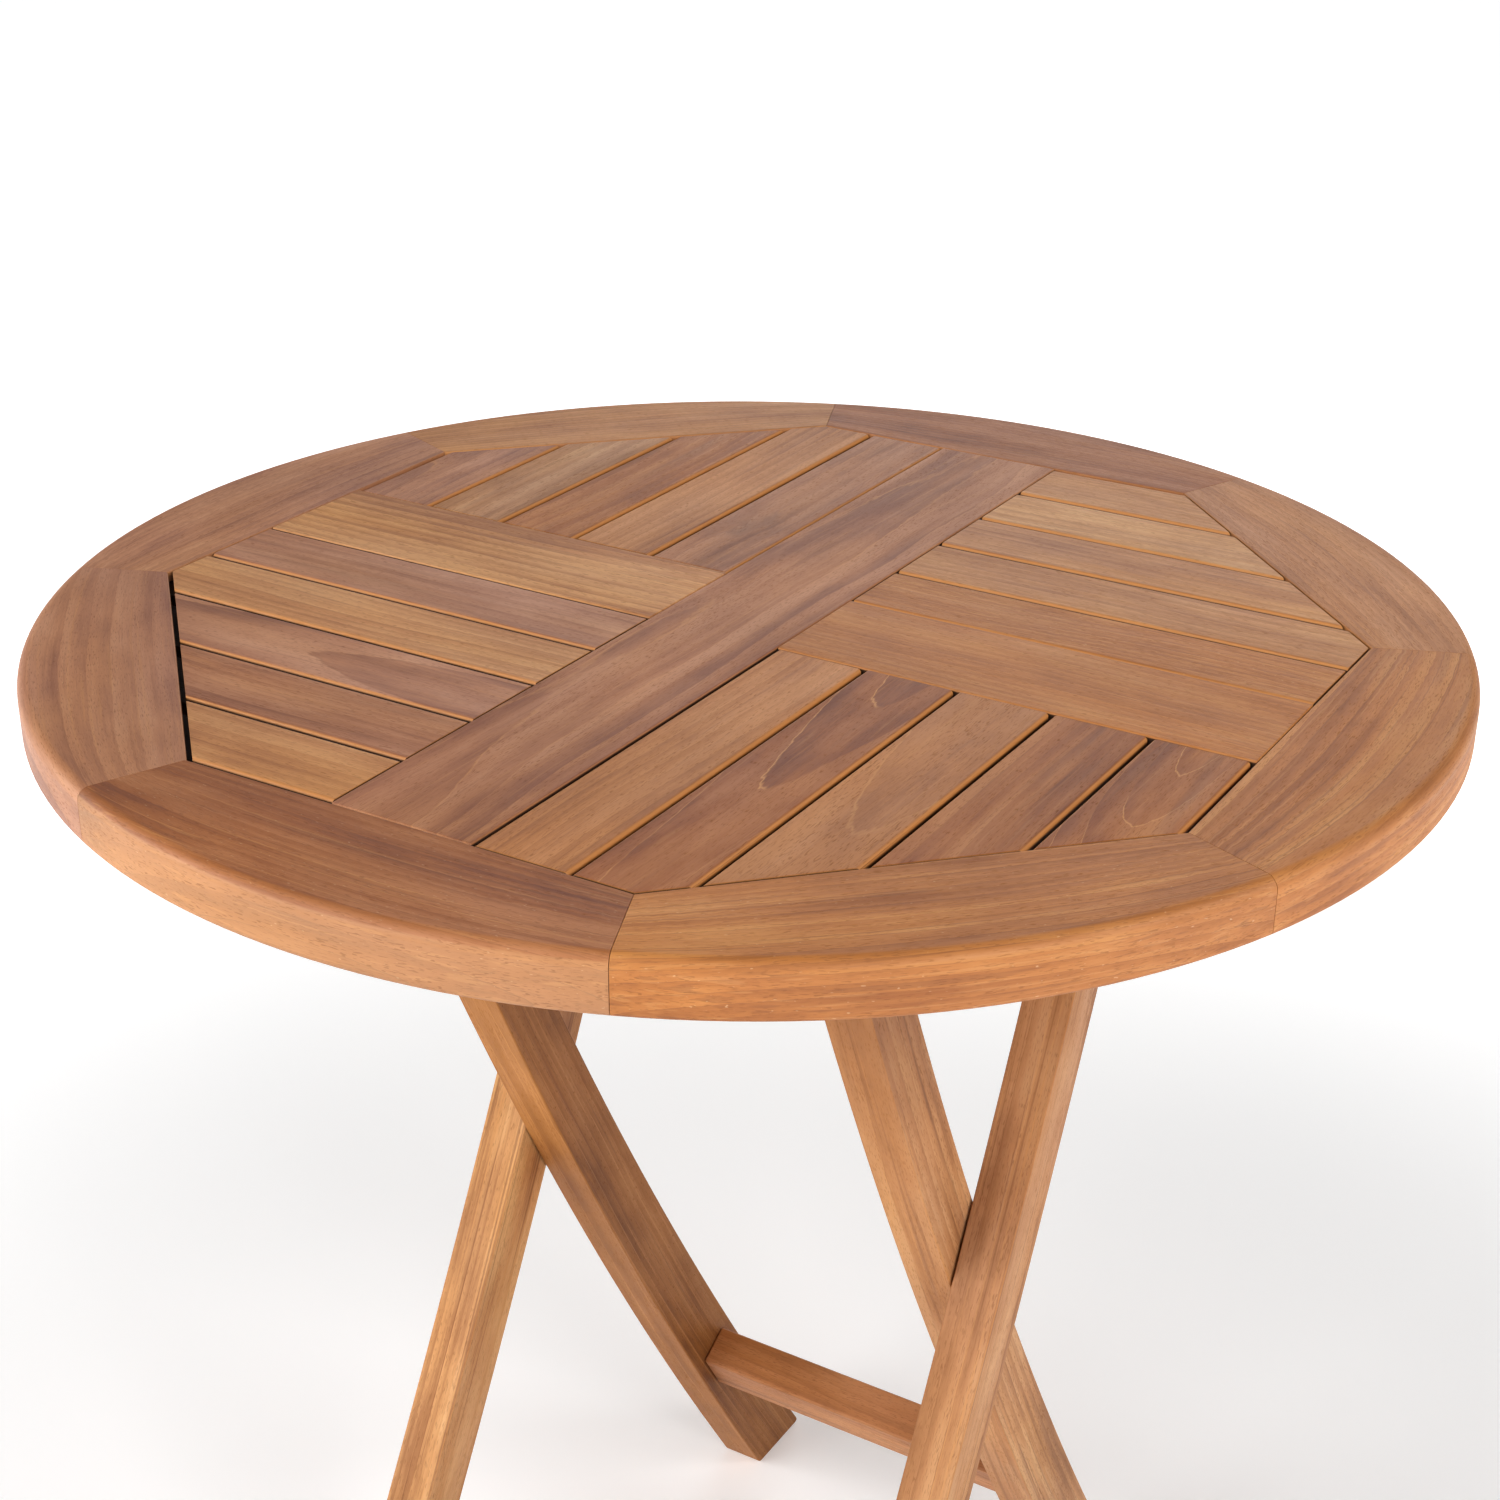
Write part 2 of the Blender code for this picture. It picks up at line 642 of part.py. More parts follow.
def scissor_pin(side, sign, inner_leg, outer_leg):
    """A headless pin held in the outer leg. It stops inside both legs, so nothing shows on their faces."""
    start, end = INNER_LEG_FACE + 0.0085, OUTER_LEG_FACE + 0.0205
    faces = (INNER_LEG_FACE + LEG_THICKNESS, OUTER_LEG_FACE)
    bore(inner_leg, f"inner_pin_bore_{side}", PIN_RADIUS + FIT, SCISSOR_AXIS, sign * (start - FIT),
         sign * (faces[0] + 0.005))
    bore(outer_leg, f"outer_pin_bore_{side}", PIN_RADIUS + FIT, SCISSOR_AXIS, sign * (faces[1] - 0.005),
         sign * (end + FIT))
    sideways = (0, math.pi / 2, 0)
    middle = sign * (start + end) / 2
    half = (end - start) / 2
    soft = 0.001
    profile = [(0, half), (PIN_RADIUS - soft, half), (PIN_RADIUS, half - soft), (PIN_RADIUS, soft - half),
               (PIN_RADIUS - soft, -half), (0, -half)]
    turned(f"scissor_pin_{side}", profile, OUTER_FRAME, finish(f"scissor_pin_{side}", STEEL, 0.3, 1.0),
           (middle, *SCISSOR_AXIS.yz), sideways)
    washer = ring_profile(0.011, PIN_RADIUS + FIT, LEG_SPACING - 2 * FIT)
    turned(f"scissor_washer_{side}", washer, OUTER_FRAME, finish(f"scissor_washer_{side}", BRASS, 0.35, 1.0),
           (sign * sum(faces) / 2, *SCISSOR_AXIS.yz), sideways, ring=True)


def hinge_bolt(side, sign, outer_leg):
    """A shoulder bolt through the batten into an insert in the outer leg's top. The batten turns on it."""
    leg_face = OUTER_LEG_FACE + LEG_THICKNESS
    insert = (leg_face - 0.025, leg_face - FIT)
    bore(outer_leg, f"insert_bore_{side}", INSERT_RADIUS + FIT, HINGE_AXIS, sign * (insert[0] - FIT),
         sign * (leg_face + 0.005))
    sideways = (0, sign * math.pi / 2, 0)  # the profile's top points outwards
    sleeve = ring_profile(INSERT_RADIUS, PIN_RADIUS + FIT, insert[1] - insert[0])
    turned(f"hinge_insert_{side}", sleeve, OUTER_FRAME, finish(f"hinge_insert_{side}", BRASS, 0.35, 1.0),
           (sign * sum(insert) / 2, *HINGE_AXIS.yz), sideways, ring=True)
    washer_thickness, washer_radius = 0.0015, 0.010
    washer_middle = BATTEN_SPAN[1] + FIT + washer_thickness / 2
    washer = ring_profile(washer_radius, PIN_RADIUS + FIT, washer_thickness)
    turned(f"hinge_washer_{side}", washer, OUTER_FRAME, finish(f"hinge_washer_{side}", BRASS, 0.35, 1.0),
           (sign * washer_middle, *HINGE_AXIS.yz), sideways, ring=True)
    seat = washer_middle + washer_thickness / 2 + FIT
    head_radius, head = 0.0075, 0.0045
    dome = [(head_radius * math.cos(a), seat + head * math.sin(a)) for a in
            (math.radians(90 - 22.5 * k) for k in range(5))]
    profile = [(0, dome[0][1])] + dome[1:] + [(head_radius, seat), (PIN_RADIUS, seat),
                                            (PIN_RADIUS, insert[0] + 0.002), (0, insert[0] + 0.002)]
    profile = [p for k, p in enumerate(profile) if k == 0 or math.dist(p, profile[k - 1]) > 1e-6]
    turned(f"hinge_bolt_{side}", profile, OUTER_FRAME, finish(f"hinge_bolt_{side}", BRASS, 0.35, 1.0),
           (0, *HINGE_AXIS.yz), sideways)


def leg_frames():
    inner_legs, outer_legs = [], []
    for side, sign in (("left", -1), ("right", 1)):
        inner_legs.append(leg(f"inner_leg_{side}", INNER_LEG_FACE, sign, BAR_DEPTH, INNER_LEG_WIDTHS,
                              INNER_FRAME, False))
        outer_legs.append(leg(f"outer_leg_{side}", OUTER_LEG_FACE, sign, HINGE_DEPTH, OUTER_LEG_WIDTHS,
                              OUTER_FRAME, True))
        scissor_pin(side, sign, inner_legs[-1], outer_legs[-1])
        hinge_bolt(side, sign, outer_legs[-1])
    stretcher("inner_stretcher", INNER_LEG_FACE, INNER_FRAME, 1, inner_legs)
    stretcher("outer_stretcher", OUTER_LEG_FACE, OUTER_FRAME, -1, outer_legs)
    top_bar(inner_legs)


rim_segments = table_top()
batten("left", -1, rim_segments)
batten("right", 1, rim_segments)
catch_rail()
turn_button()
leg_frames()
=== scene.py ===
"""The looks of the round folding teak table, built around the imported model.

Every wooden piece is made again here with rounded arrises and its own teak, and stands for its CAD node. The
metal pieces keep their CAD shapes and get better materials.
"""

import json
import math
import random

import bmesh
import bpy
from mathutils import Matrix, Vector

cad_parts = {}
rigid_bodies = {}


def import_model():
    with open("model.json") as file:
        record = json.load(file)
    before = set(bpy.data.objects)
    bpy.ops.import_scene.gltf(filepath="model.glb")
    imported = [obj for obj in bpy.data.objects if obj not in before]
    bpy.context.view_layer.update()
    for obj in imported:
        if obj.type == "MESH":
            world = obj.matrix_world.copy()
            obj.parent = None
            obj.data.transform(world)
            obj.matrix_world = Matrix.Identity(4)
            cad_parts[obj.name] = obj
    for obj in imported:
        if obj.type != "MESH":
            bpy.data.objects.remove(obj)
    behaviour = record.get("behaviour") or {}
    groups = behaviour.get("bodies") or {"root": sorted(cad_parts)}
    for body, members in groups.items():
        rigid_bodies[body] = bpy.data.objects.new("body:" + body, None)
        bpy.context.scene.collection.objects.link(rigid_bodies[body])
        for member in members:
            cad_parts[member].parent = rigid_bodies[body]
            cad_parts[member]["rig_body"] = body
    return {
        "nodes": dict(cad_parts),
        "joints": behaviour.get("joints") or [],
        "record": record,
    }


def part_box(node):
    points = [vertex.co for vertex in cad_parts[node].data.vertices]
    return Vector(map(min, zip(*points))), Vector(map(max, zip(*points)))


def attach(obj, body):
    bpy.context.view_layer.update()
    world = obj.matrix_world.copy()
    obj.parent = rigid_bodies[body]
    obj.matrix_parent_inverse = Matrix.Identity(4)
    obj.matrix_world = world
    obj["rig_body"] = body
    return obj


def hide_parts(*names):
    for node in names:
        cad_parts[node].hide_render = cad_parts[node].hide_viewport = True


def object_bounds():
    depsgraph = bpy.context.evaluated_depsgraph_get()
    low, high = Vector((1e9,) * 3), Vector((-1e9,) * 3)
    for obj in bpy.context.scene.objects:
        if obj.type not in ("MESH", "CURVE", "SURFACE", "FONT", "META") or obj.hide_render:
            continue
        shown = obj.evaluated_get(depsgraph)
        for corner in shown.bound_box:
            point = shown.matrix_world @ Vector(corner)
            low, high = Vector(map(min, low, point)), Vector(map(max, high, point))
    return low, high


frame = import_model()
CAD_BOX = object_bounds()
SLOTS = {part["node"]: part["material_slot"] for part in frame["record"]["subparts"]}

# Sizes that the frame gives
TOP_RADIUS = CAD_BOX[1].y
HEIGHT = CAD_BOX[1].z
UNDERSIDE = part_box("rim_segment_1")[0].z
PANEL_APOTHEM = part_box("rim_segment_1")[0].y
HALF_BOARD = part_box("centre_plank")[1].x

# Sizes of the top's boards
FIT = 0.0003  # gap between pieces that touch
SLATS_PER_QUADRANT = 5
SLAT_THICKNESS = 0.020
SLAT_GAP = 0.0026
END_GAP = 0.0010  # at the slats' ends
OPEN_END_GAP = 0.0024  # the left quadrant's slats stop this short of the diagonal rim segment
SLAT_DROP = 0.0003  # the most that a slat's face lies under the rest of the top
SLAT_ARRISES = (0.0017, 0.0021)  # the least and the most rounded of the slats' long edges
SLAT_END_ARRIS = 0.0005
BOARD_ARRIS = 0.0009
RIM_TOP_ARRIS = 0.0062
RIM_BOTTOM_ARRIS = 0.0032
RIM_EASE = 0.0010  # the chamfers along the rim's straight inside
RIM_STEPS = 24  # round one rim segment
RIM_BEND = 0.6  # how far a rim board's grain follows its round side
TONGUE_THICKNESS = 0.008
TONGUE_LENGTH = 0.0075
TONGUE_INSET = 0.0035  # from a slat's sides
TONGUE_MIDDLE = HEIGHT - SLAT_THICKNESS / 2
NARROW_TONGUE = HALF_BOARD - 0.012  # half the width of the plank's and the rails' tongues
GROOVE_FLOOR = HALF_BOARD - TONGUE_LENGTH - 2 * FIT
CUT_PAST = 0.01  # how far a tool that cuts right through sticks out

# Sizes of the legs. t is the depth below the table's upper face, and a leg's middle line is at
# y = -LEG_TOP_Y + LEG_SLOPE * t + LEG_CURVE * t**2 on the inner frame, and mirrored on the outer one.
LEG_TOP_Y = 0.1563
LEG_SLOPE = 0.3973
LEG_CURVE = 0.1562
LEG_ARRIS = 0.0016
LEG_STATIONS = 48
INNER_LEG_WIDTHS = (0.0330, 0.0460)  # at the top and at the floor
OUTER_LEG_WIDTHS = (0.0332, 0.0362)
TOE_RADIUS, HEEL_RADIUS = 0.003, 0.005
HINGE_DEPTH = 0.047  # depth t of the top's hinge
BAR_DEPTH = 0.0555  # depth t of the inner frame's top bar
TOP_BAR_RADIUS = 0.012
BAR_TENON_RADIUS = 0.008
BAR_ARRIS = 0.001
STRETCHER_DEPTH = 0.615
STRETCHER_SECTION = (0.026, 0.035)
TENON_SECTION = (0.014, 0.021)
TENON_LENGTH = 0.015

# Sizes of the hardware's holes
PIN_RADIUS = 0.004
INSERT_RADIUS = 0.007
SCREW_RADIUS = 0.0023
SCREW_WELL_RADIUS = 0.0043
SCREW_HEAD_HEIGHT = 0.0024

# Sizes of the pieces under the top
BATTEN_ARRIS = 0.0016
BATTEN_TAPER = (0.045, 0.012)  # length of a batten's slope, and its height at the tip
CATCH_ARRIS = 0.0012
CATCH_CLEARANCE = 0.0005  # between the top bar's leg and the catch rail's hook
BUTTON_ARRIS = 0.0018
BLOCK_ARRIS = 0.0016


# Teak and metal. Each tone is the pale, middle and deep colour of a board, as it looks in even light.
TONES = {
    "straw": ((228, 176, 118), (209, 150, 94), (182, 123, 72)),
    "wheat": ((222, 172, 118), (202, 146, 93), (166, 112, 68)),
    "honey": ((211, 153, 98), (191, 130, 79), (162, 103, 62)),
    "amber": ((203, 138, 76), (184, 115, 57), (154, 90, 42)),
    "sand": ((203, 152, 106), (184, 129, 84), (152, 101, 62)),
    "tan": ((200, 137, 86), (182, 119, 69), (152, 94, 54)),
    "dusk": ((197, 143, 110), (178, 122, 90), (144, 94, 72)),
    "rose": ((190, 132, 94), (171, 112, 76), (140, 86, 60)),
    "russet": ((184, 119, 67), (164, 98, 50), (134, 74, 38)),
    "umber": ((177, 114, 70), (157, 93, 51), (123, 69, 44)),
    "hazel": ((172, 116, 64), (151, 96, 45), (118, 70, 32)),
    "smoke": ((190, 134, 98), (173, 115, 79), (136, 86, 62)),
}
# orange for the arrises: fresh wood, and a painted highlight
ARRIS_WEAR_AND_HIGHLIGHT = (200, 132, 68)
PALE_LINE = (208, 148, 90)
DARK_LINE = (110, 62, 36)
PORE = (96, 54, 30)
MINERAL = (92, 56, 48)
SPECK = (240, 206, 160)
# painted sheen: the pale colour of the rim's round side
RIM_SIDE_SHEEN = (208, 156, 104)
# painted shade: the near-black colour of the gaps between the top's boards
GAP_PAINTED_SHADE = (30, 16, 8)
# painted shade on the legs: darker at their tops under the table, and on their inner faces
LEG_PAINTED_SHADE = (150, 108, 72)
LEG_SHADE_SPAN = (0.10, 0.38)  # how far down a leg its painted shade from the table's top is full, and reaches at all
INNER_FACE_PAINTED_SHADE = 0.28
LEG_GLOSS = 0.22
LEFT_RIGHT_SHADE_DEPTHS = (0.0009, 0.0019)  # depths at which the painted shade in the gaps sets in, in the left and right quadrants
FRONT_BACK_SHADE_DEPTHS = (0.0015, 0.0034)
BRASS = (204, 160, 92)
STEEL = (182, 182, 184)


def linear(colour):
    """An 8-bit display colour as linear RGBA."""
    parts = [c / 255 for c in colour]
    return (*(c / 12.92 if c <= 0.04045 else ((c + 0.055) / 1.055) ** 2.4 for c in parts), 1)


class Tree:
    """Short calls that add nodes to one material, or to the world."""

    def __init__(self, owner):
        owner.use_nodes = True
        self.nodes = owner.node_tree.nodes
        self.links = owner.node_tree.links
        self.shader = self.nodes.get("Principled BSDF") or self.nodes["Background"]

    def put(self, socket, value):
        if isinstance(value, bpy.types.NodeSocket):
            self.links.new(value, socket)
        else:
            socket.default_value = value

    def math(self, operation, a, b=0.0, clamp=False):
        node = self.nodes.new("ShaderNodeMath")
        node.operation = operation
        node.use_clamp = clamp
        self.put(node.inputs[0], a)
        self.put(node.inputs[1], b)
        return node.outputs[0]

    def centred(self, value, strength):
        """A value from 0 to 1 as one around 0."""
        return self.math("MULTIPLY", self.math("SUBTRACT", value, 0.5), strength)

    def vector(self, operation, a, b=(0, 0, 0)):
        node = self.nodes.new("ShaderNodeVectorMath")
        node.operation = operation
        self.put(node.inputs[0], a)
        self.put(node.inputs[1], b)
        is_number = operation in ("LENGTH", "DOT_PRODUCT")
        return node.outputs["Value" if is_number else "Vector"]

    def coordinates(self, kind):
        return self.nodes.new("ShaderNodeTexCoord").outputs[kind]

    def split(self, vector):
        node = self.nodes.new("ShaderNodeSeparateXYZ")
        self.put(node.inputs[0], vector)
        return node.outputs

    def join(self, x, y, z):
        node = self.nodes.new("ShaderNodeCombineXYZ")
        for socket, value in zip(node.inputs, (x, y, z)):
            self.put(socket, value)
        return node.outputs[0]

    def noise(self, place, stretch, detail=1.0, roughness=0.5):
        """Noise from 0 to 1. stretch is its frequency per metre along the grain, across it and through it."""
        node = self.nodes.new("ShaderNodeTexNoise")
        node.inputs["Scale"].default_value = 1.0
        node.inputs["Detail"].default_value = detail
        node.inputs["Roughness"].default_value = roughness
        self.put(node.inputs["Vector"], self.vector("MULTIPLY", place, stretch))
        return node.outputs["Fac"]

    def step(self, value, low, high, bottom=0.0, top=1.0):
        """A smooth step from bottom to top as value goes from low to high."""
        node = self.nodes.new("ShaderNodeMapRange")
        node.interpolation_type = "SMOOTHSTEP"
        self.put(node.inputs["Value"], value)
        for name, number in zip(("From Min", "From Max", "To Min", "To Max"), (low, high, bottom, top)):
            node.inputs[name].default_value = number
        return node.outputs["Result"]

    def mix(self, share, a, b, blend="MIX"):
        node = self.nodes.new("ShaderNodeMix")
        node.data_type = "RGBA"
        node.blend_type = blend
        self.put(node.inputs["Factor"], share)
        self.put(node.inputs[6], a)
        self.put(node.inputs[7], b)
        return node.outputs[2]

    def ramp(self, value, stops):
        node = self.nodes.new("ShaderNodeValToRGB")
        self.put(node.inputs[0], value)
        elements = node.color_ramp.elements
        for element, (place, colour) in zip(elements, (stops[0], stops[-1])):
            element.position = place
            element.color = colour
        for place, colour in stops[1:-1]:
            elements.new(place).color = colour
        return node.outputs[0]

    def drift(self, colour, noise, low, high):
        """The colour times a shade that follows the noise, from low to high."""
        shade = self.ramp(noise, [(0.3, (*low, 1)), (0.7, (*high, 1))])
        return self.mix(1.0, colour, shade, "MULTIPLY")

    def attribute(self, name, output="Fac"):
        node = self.nodes.new("ShaderNodeAttribute")
        node.attribute_name = name
        return node.outputs[output]

    def bump(self, height, strength, distance):
        node = self.nodes.new("ShaderNodeBump")
        node.inputs["Strength"].default_value = strength
        node.inputs["Distance"].default_value = distance
        self.put(node.inputs["Height"], height)
        self.put(self.shader.inputs["Normal"], node.outputs[0])


def teak(name, tone="tan", pith=(0.06, -0.02), ring=0.0045, lean=0.0, wander=0.006, bands=0.5, wisps=0.9,
         lines=0.35, line="dark", minerals=0.0, specks=0.0, edge=0.35, knot=None, fibre=0.3, side_sheen=0.0,
         shade=0.0, hairs=1.0, gloss=0.42, thickness=None, grain=None, gap_shade_depths=(0.0005, 0.0013)):
    """A teak board cut through its growth rings.

    pith is where the tree's middle lies from the board's, across and through it, and ring is a year's growth.
    lean tilts the pith along the board, which makes cathedral figure. wander is how far the grain strays.
    line is whether the lines between the years are dark or pale. knot is (along, across, radius). bands,
    wisps, lines, minerals, specks, fibre and hairs (fine straight streaks) are how strong each layer is.
    side_sheen is how pale the rim's round side is, a painted sheen. shade is painted shade: how much darker
    a leg is at its top under the table, and a leg with any shade also has a darker inner face. edge is how
    much orange shows on the arrises: fresh wood, and a painted highlight. thickness, grain and
    gap_shade_depths are for the top's boards: see arrises_and_gap_shade.
    """
    made = bpy.data.materials.new(name + "_teak")
    t = Tree(made)
    dice = random.Random(name)
    board = t.attribute("wood", "Vector")
    shift = tuple(dice.uniform(-9, 9) for _ in range(3))
    place = t.vector("ADD", board, shift)
    along, across, through = t.split(board)

    # the grain strays a little from the board's length, and every layer follows it
    stray = t.centred(t.noise(place, (3.4, 9, 9), 1.0), 3.4 * wander)
    ripple = t.centred(t.noise(place, (12, 30, 30), 0.0), 0.5 * wander)
    side = t.math("ADD", t.math("ADD", across, stray), ripple)
    smoke = None
    if knot:
        where, reach = Vector((*knot[:2], 0)), knot[2]
        away = t.vector("MULTIPLY", t.vector("SUBTRACT", board, where), (0.45 / reach, 1 / reach, 1 / reach))
        curl = t.noise(place, (34, 60, 60), 2.0)
        away = t.math("ADD", t.vector("LENGTH", away), t.math("MULTIPLY", curl, 1.5))
        smoke = t.step(away, 0.75, 2.0, 1.0, 0.0)
        side = t.math("ADD", side, t.math("MULTIPLY", smoke, 0.6 * reach))
    strayed = t.join(t.math("ADD", along, shift[0]), t.math("ADD", side, shift[1]),
                     t.math("ADD", t.math("ADD", through, stray), shift[2]))

    # growth rings about the pith, each year of its own shade and darkest where it ends
    out = t.math("SUBTRACT", side, pith[0])
    down = t.math("SUBTRACT", t.math("ADD", through, t.math("MULTIPLY", along, lean)), pith[1])
    radius = t.vector("LENGTH", t.join(out, down, 0.0))
    years = t.math("DIVIDE", radius, ring)
    years = t.math("ADD", years, t.centred(t.noise(place, (7, 26, 26), 0.0), 110 * wander))
    years = t.math("ADD", years, t.centred(t.noise(place, (90, 420, 420), 2.0), 0.12))
    season = t.math("FRACT", years)
    year = t.nodes.new("ShaderNodeTexWhiteNoise")
    year.noise_dimensions = "1D"
    t.put(year.inputs["W"], t.math("FLOOR", years))
    late = t.math("MULTIPLY", t.step(season, 0.1, 0.95), t.step(season, 0.95, 1.0, 1.0, 0.0))
    band = t.math("MULTIPLY", late, 0.6)
    band = t.math("SUBTRACT", t.math("ADD", band, t.math("MULTIPLY", year.outputs["Value"], 0.4)), 0.5)

    # clouds and wisps of paler and darker wood, then the fibres
    broad = t.noise(strayed, (3.6, 38, 38), 2.0)
    narrow = t.noise(strayed, (8, 170, 170), 2.0)
    fine = t.noise(strayed, (55, 1100, 1100), 1.0)
    mottle = t.noise(place, (26, 60, 60), 3.0, 0.55)
    tint = t.math("ADD", 0.5, t.centred(broad, 1.5 * wisps))
    tint = t.math("ADD", tint, t.centred(narrow, 0.46 * wisps))
    tint = t.math("ADD", tint, t.centred(fine, fibre))
    tint = t.math("ADD", tint, t.centred(mottle, 0.72))
    tint = t.math("ADD", tint, t.math("MULTIPLY", band, 0.6 * bands))
    pale, middle, deep = (linear(c) for c in TONES[tone])
    colour = t.ramp(tint, [(0.12, pale), (0.5, middle), (0.9, deep)])

    hair = t.noise(strayed, (3.6, 620, 620), 0.0)
    colour = t.mix(t.step(hair, 0.66, 0.76, 0.0, 0.16 * hairs), colour, linear(DARK_LINE))
    colour = t.mix(t.step(hair, 0.34, 0.24, 0.0, 0.15 * hairs), colour, linear(PALE_LINE))
    boundary = t.math("MULTIPLY", t.step(season, 0.945, 0.98), t.step(season, 0.98, 1.0, 1.0, 0.0))
    patch = t.step(t.noise(place, (7, 60, 60), 1.0), 0.30, 0.60)
    boundary = t.math("MULTIPLY", t.math("MULTIPLY", boundary, patch), lines)
    colour = t.mix(boundary, colour, linear(DARK_LINE if line == "dark" else PALE_LINE))
    if minerals:
        streak = t.noise(strayed, (6, 95, 95), 2.0)
        streak = t.step(streak, 0.58, 0.74, 0.0, minerals)
        colour = t.mix(streak, colour, linear(MINERAL))
    if smoke is not None:
        colour = t.mix(t.math("MULTIPLY", smoke, 0.72), colour, linear(MINERAL))
    # painted sheen: the rim's round side paler
    if side_sheen:
        colour = t.mix(t.math("MULTIPLY", t.attribute("side"), side_sheen), colour, linear(RIM_SIDE_SHEEN))

    # pores are short dark dashes, most of them in the spring wood
    dash = t.noise(place, (260, 2100, 2100), 0.0)
    dash = t.math("MULTIPLY", t.step(dash, 0.60, 0.72), t.step(season, 0.0, 0.9, 1.0, 0.45))
    colour = t.mix(t.math("MULTIPLY", dash, 0.36), colour, linear(PORE))
    if specks:
        fleck = t.noise(t.vector("ADD", place, (3, 3, 3)), (420, 1300, 1300), 0.0)
        colour = t.mix(t.step(fleck, 0.79, 0.86, 0.0, specks), colour, linear(SPECK))

    # slow drifts of brightness and of warmth
    brightness = t.noise(place, (9, 16, 16), 1.0)
    colour = t.drift(colour, brightness, (0.93, 0.93, 0.93), (1.05, 1.05, 1.05))
    warmth = t.noise(t.vector("ADD", place, (5, 5, 5)), (7, 26, 26), 1.0)
    colour = t.drift(colour, warmth, (0.97, 0.99, 1.10), (1.03, 1.01, 0.90))

    # painted shade: a leg darker at its top under the table, and on its inner face
    if shade:
        painted_shade = t.step(along, *LEG_SHADE_SPAN, shade, 0.0)
        painted_shade = t.math("ADD", painted_shade, t.math("MULTIPLY", t.attribute("side"), INNER_FACE_PAINTED_SHADE))
        colour = t.mix(painted_shade, colour, linear(LEG_PAINTED_SHADE), "MULTIPLY")

    colour = arrises_and_gap_shade(t, colour, place, through, edge, thickness, grain, gap_shade_depths)
    t.put(t.shader.inputs["Base Color"], colour)

    rough = t.math("ADD", 0.46, t.math("MULTIPLY", narrow, 0.14))
    t.put(t.shader.inputs["Roughness"], t.math("ADD", rough, t.math("MULTIPLY", dash, 0.2)))
    t.shader.inputs["Specular IOR Level"].default_value = gloss
    relief = t.math("SUBTRACT", t.math("MULTIPLY", fine, 0.5), dash)
    relief = t.math("SUBTRACT", relief, t.math("MULTIPLY", season, 0.35))
    t.bump(relief, 0.4, 0.00025)
    return made


def arrises_and_gap_shade(t, colour, place, through, edge, thickness, grain, gap_shade_depths):
    """The colour with orange on the arrises, fresh wood and a painted highlight, and painted shade in gaps.

    Without a thickness, the orange follows the arris attribute, and there is no painted shade. With one,
    both go by the depth below the board's upper face, down to its underside, and the painted shade darkens
    the gaps between the top's boards from the depths in gap_shade_depths. A slat's grain direction tells its
    sawn ends, which get painted shade from the top down.
    """
    # orange arrises: fresh wood, and a painted highlight
    uneven = t.math("ADD", 0.55, t.math("MULTIPLY", t.noise(place, (45, 45, 45), 2.0), 0.9))
    if not thickness:
        arris_orange = t.math("MULTIPLY", t.attribute("arris"), edge)
        return t.mix(t.math("MULTIPLY", arris_orange, uneven, True), colour, linear(ARRIS_WEAR_AND_HIGHLIGHT))
    depth = t.math("SUBTRACT", thickness / 2, through)
    above = t.step(depth, thickness - 0.0022, thickness - 0.0004, 1.0, 0.0)
    arris_band = t.math("MULTIPLY", t.step(depth, 0.00008, 0.0006), above)
    arris_orange = t.math("MULTIPLY", arris_band, edge)
    colour = t.mix(t.math("MULTIPLY", arris_orange, uneven, True), colour, linear(ARRIS_WEAR_AND_HIGHLIGHT))
    # painted shade: the boards' sides go near black down in the gaps, and a slat's sawn ends from the top
    # down
    gap_shade = t.step(depth, *gap_shade_depths, 0.0, 0.94)
    if grain:
        facing = t.vector("DOT_PRODUCT", t.coordinates("Normal"), grain)
        sawn = t.step(t.math("ABSOLUTE", facing), 0.3, 0.6)
        end_shade = t.math("MULTIPLY", sawn, t.step(depth, 0.0001, 0.0009, 0.0, 0.9))
        gap_shade = t.math("MAXIMUM", gap_shade, end_shade)
    return t.mix(t.math("MULTIPLY", gap_shade, above), colour, linear(GAP_PAINTED_SHADE))


def metal(name, colour, roughness):
    """Metal with fine scratches, dulled in patches."""
    made = bpy.data.materials.new(name + "_metal")
    t = Tree(made)
    place = t.coordinates("Object")
    dull = t.noise(place, (180, 180, 180), 2.0)
    scratch = t.noise(place, (2600, 900, 900), 1.0)
    dulled = [0.74 * c for c in colour]
    t.put(t.shader.inputs["Base Color"], t.ramp(dull, [(0.35, linear(colour)), (0.75, linear(dulled))]))
    t.shader.inputs["Metallic"].default_value = 1.0
    t.put(t.shader.inputs["Roughness"], t.math("ADD", roughness, t.math("MULTIPLY", dull, 0.25)))
    t.bump(scratch, 0.25, 0.0001)
    return made


# Shapes


def object_from(bm, name):
    bmesh.ops.recalc_face_normals(bm, faces=bm.faces)
    mesh = bpy.data.meshes.new(name)
    bm.to_mesh(mesh)
    bm.free()
    made = bpy.data.objects.new(name, mesh)
    bpy.context.scene.collection.objects.link(made)
    return made


def round_edges(bm, radius, segments, bend=30, chosen=None):
    """Rounds the edges that bend by more than an angle in degrees, or those of them that chosen accepts."""
    bent = [e for e in bm.edges if e.calc_face_angle() > math.radians(bend)]
    edges = [e for e in bent if chosen is None or chosen(e)]
    bmesh.ops.bevel(bm, geom=edges, offset=radius, segments=segments, profile=0.5, affect="EDGES",
                    clamp_overlap=True)


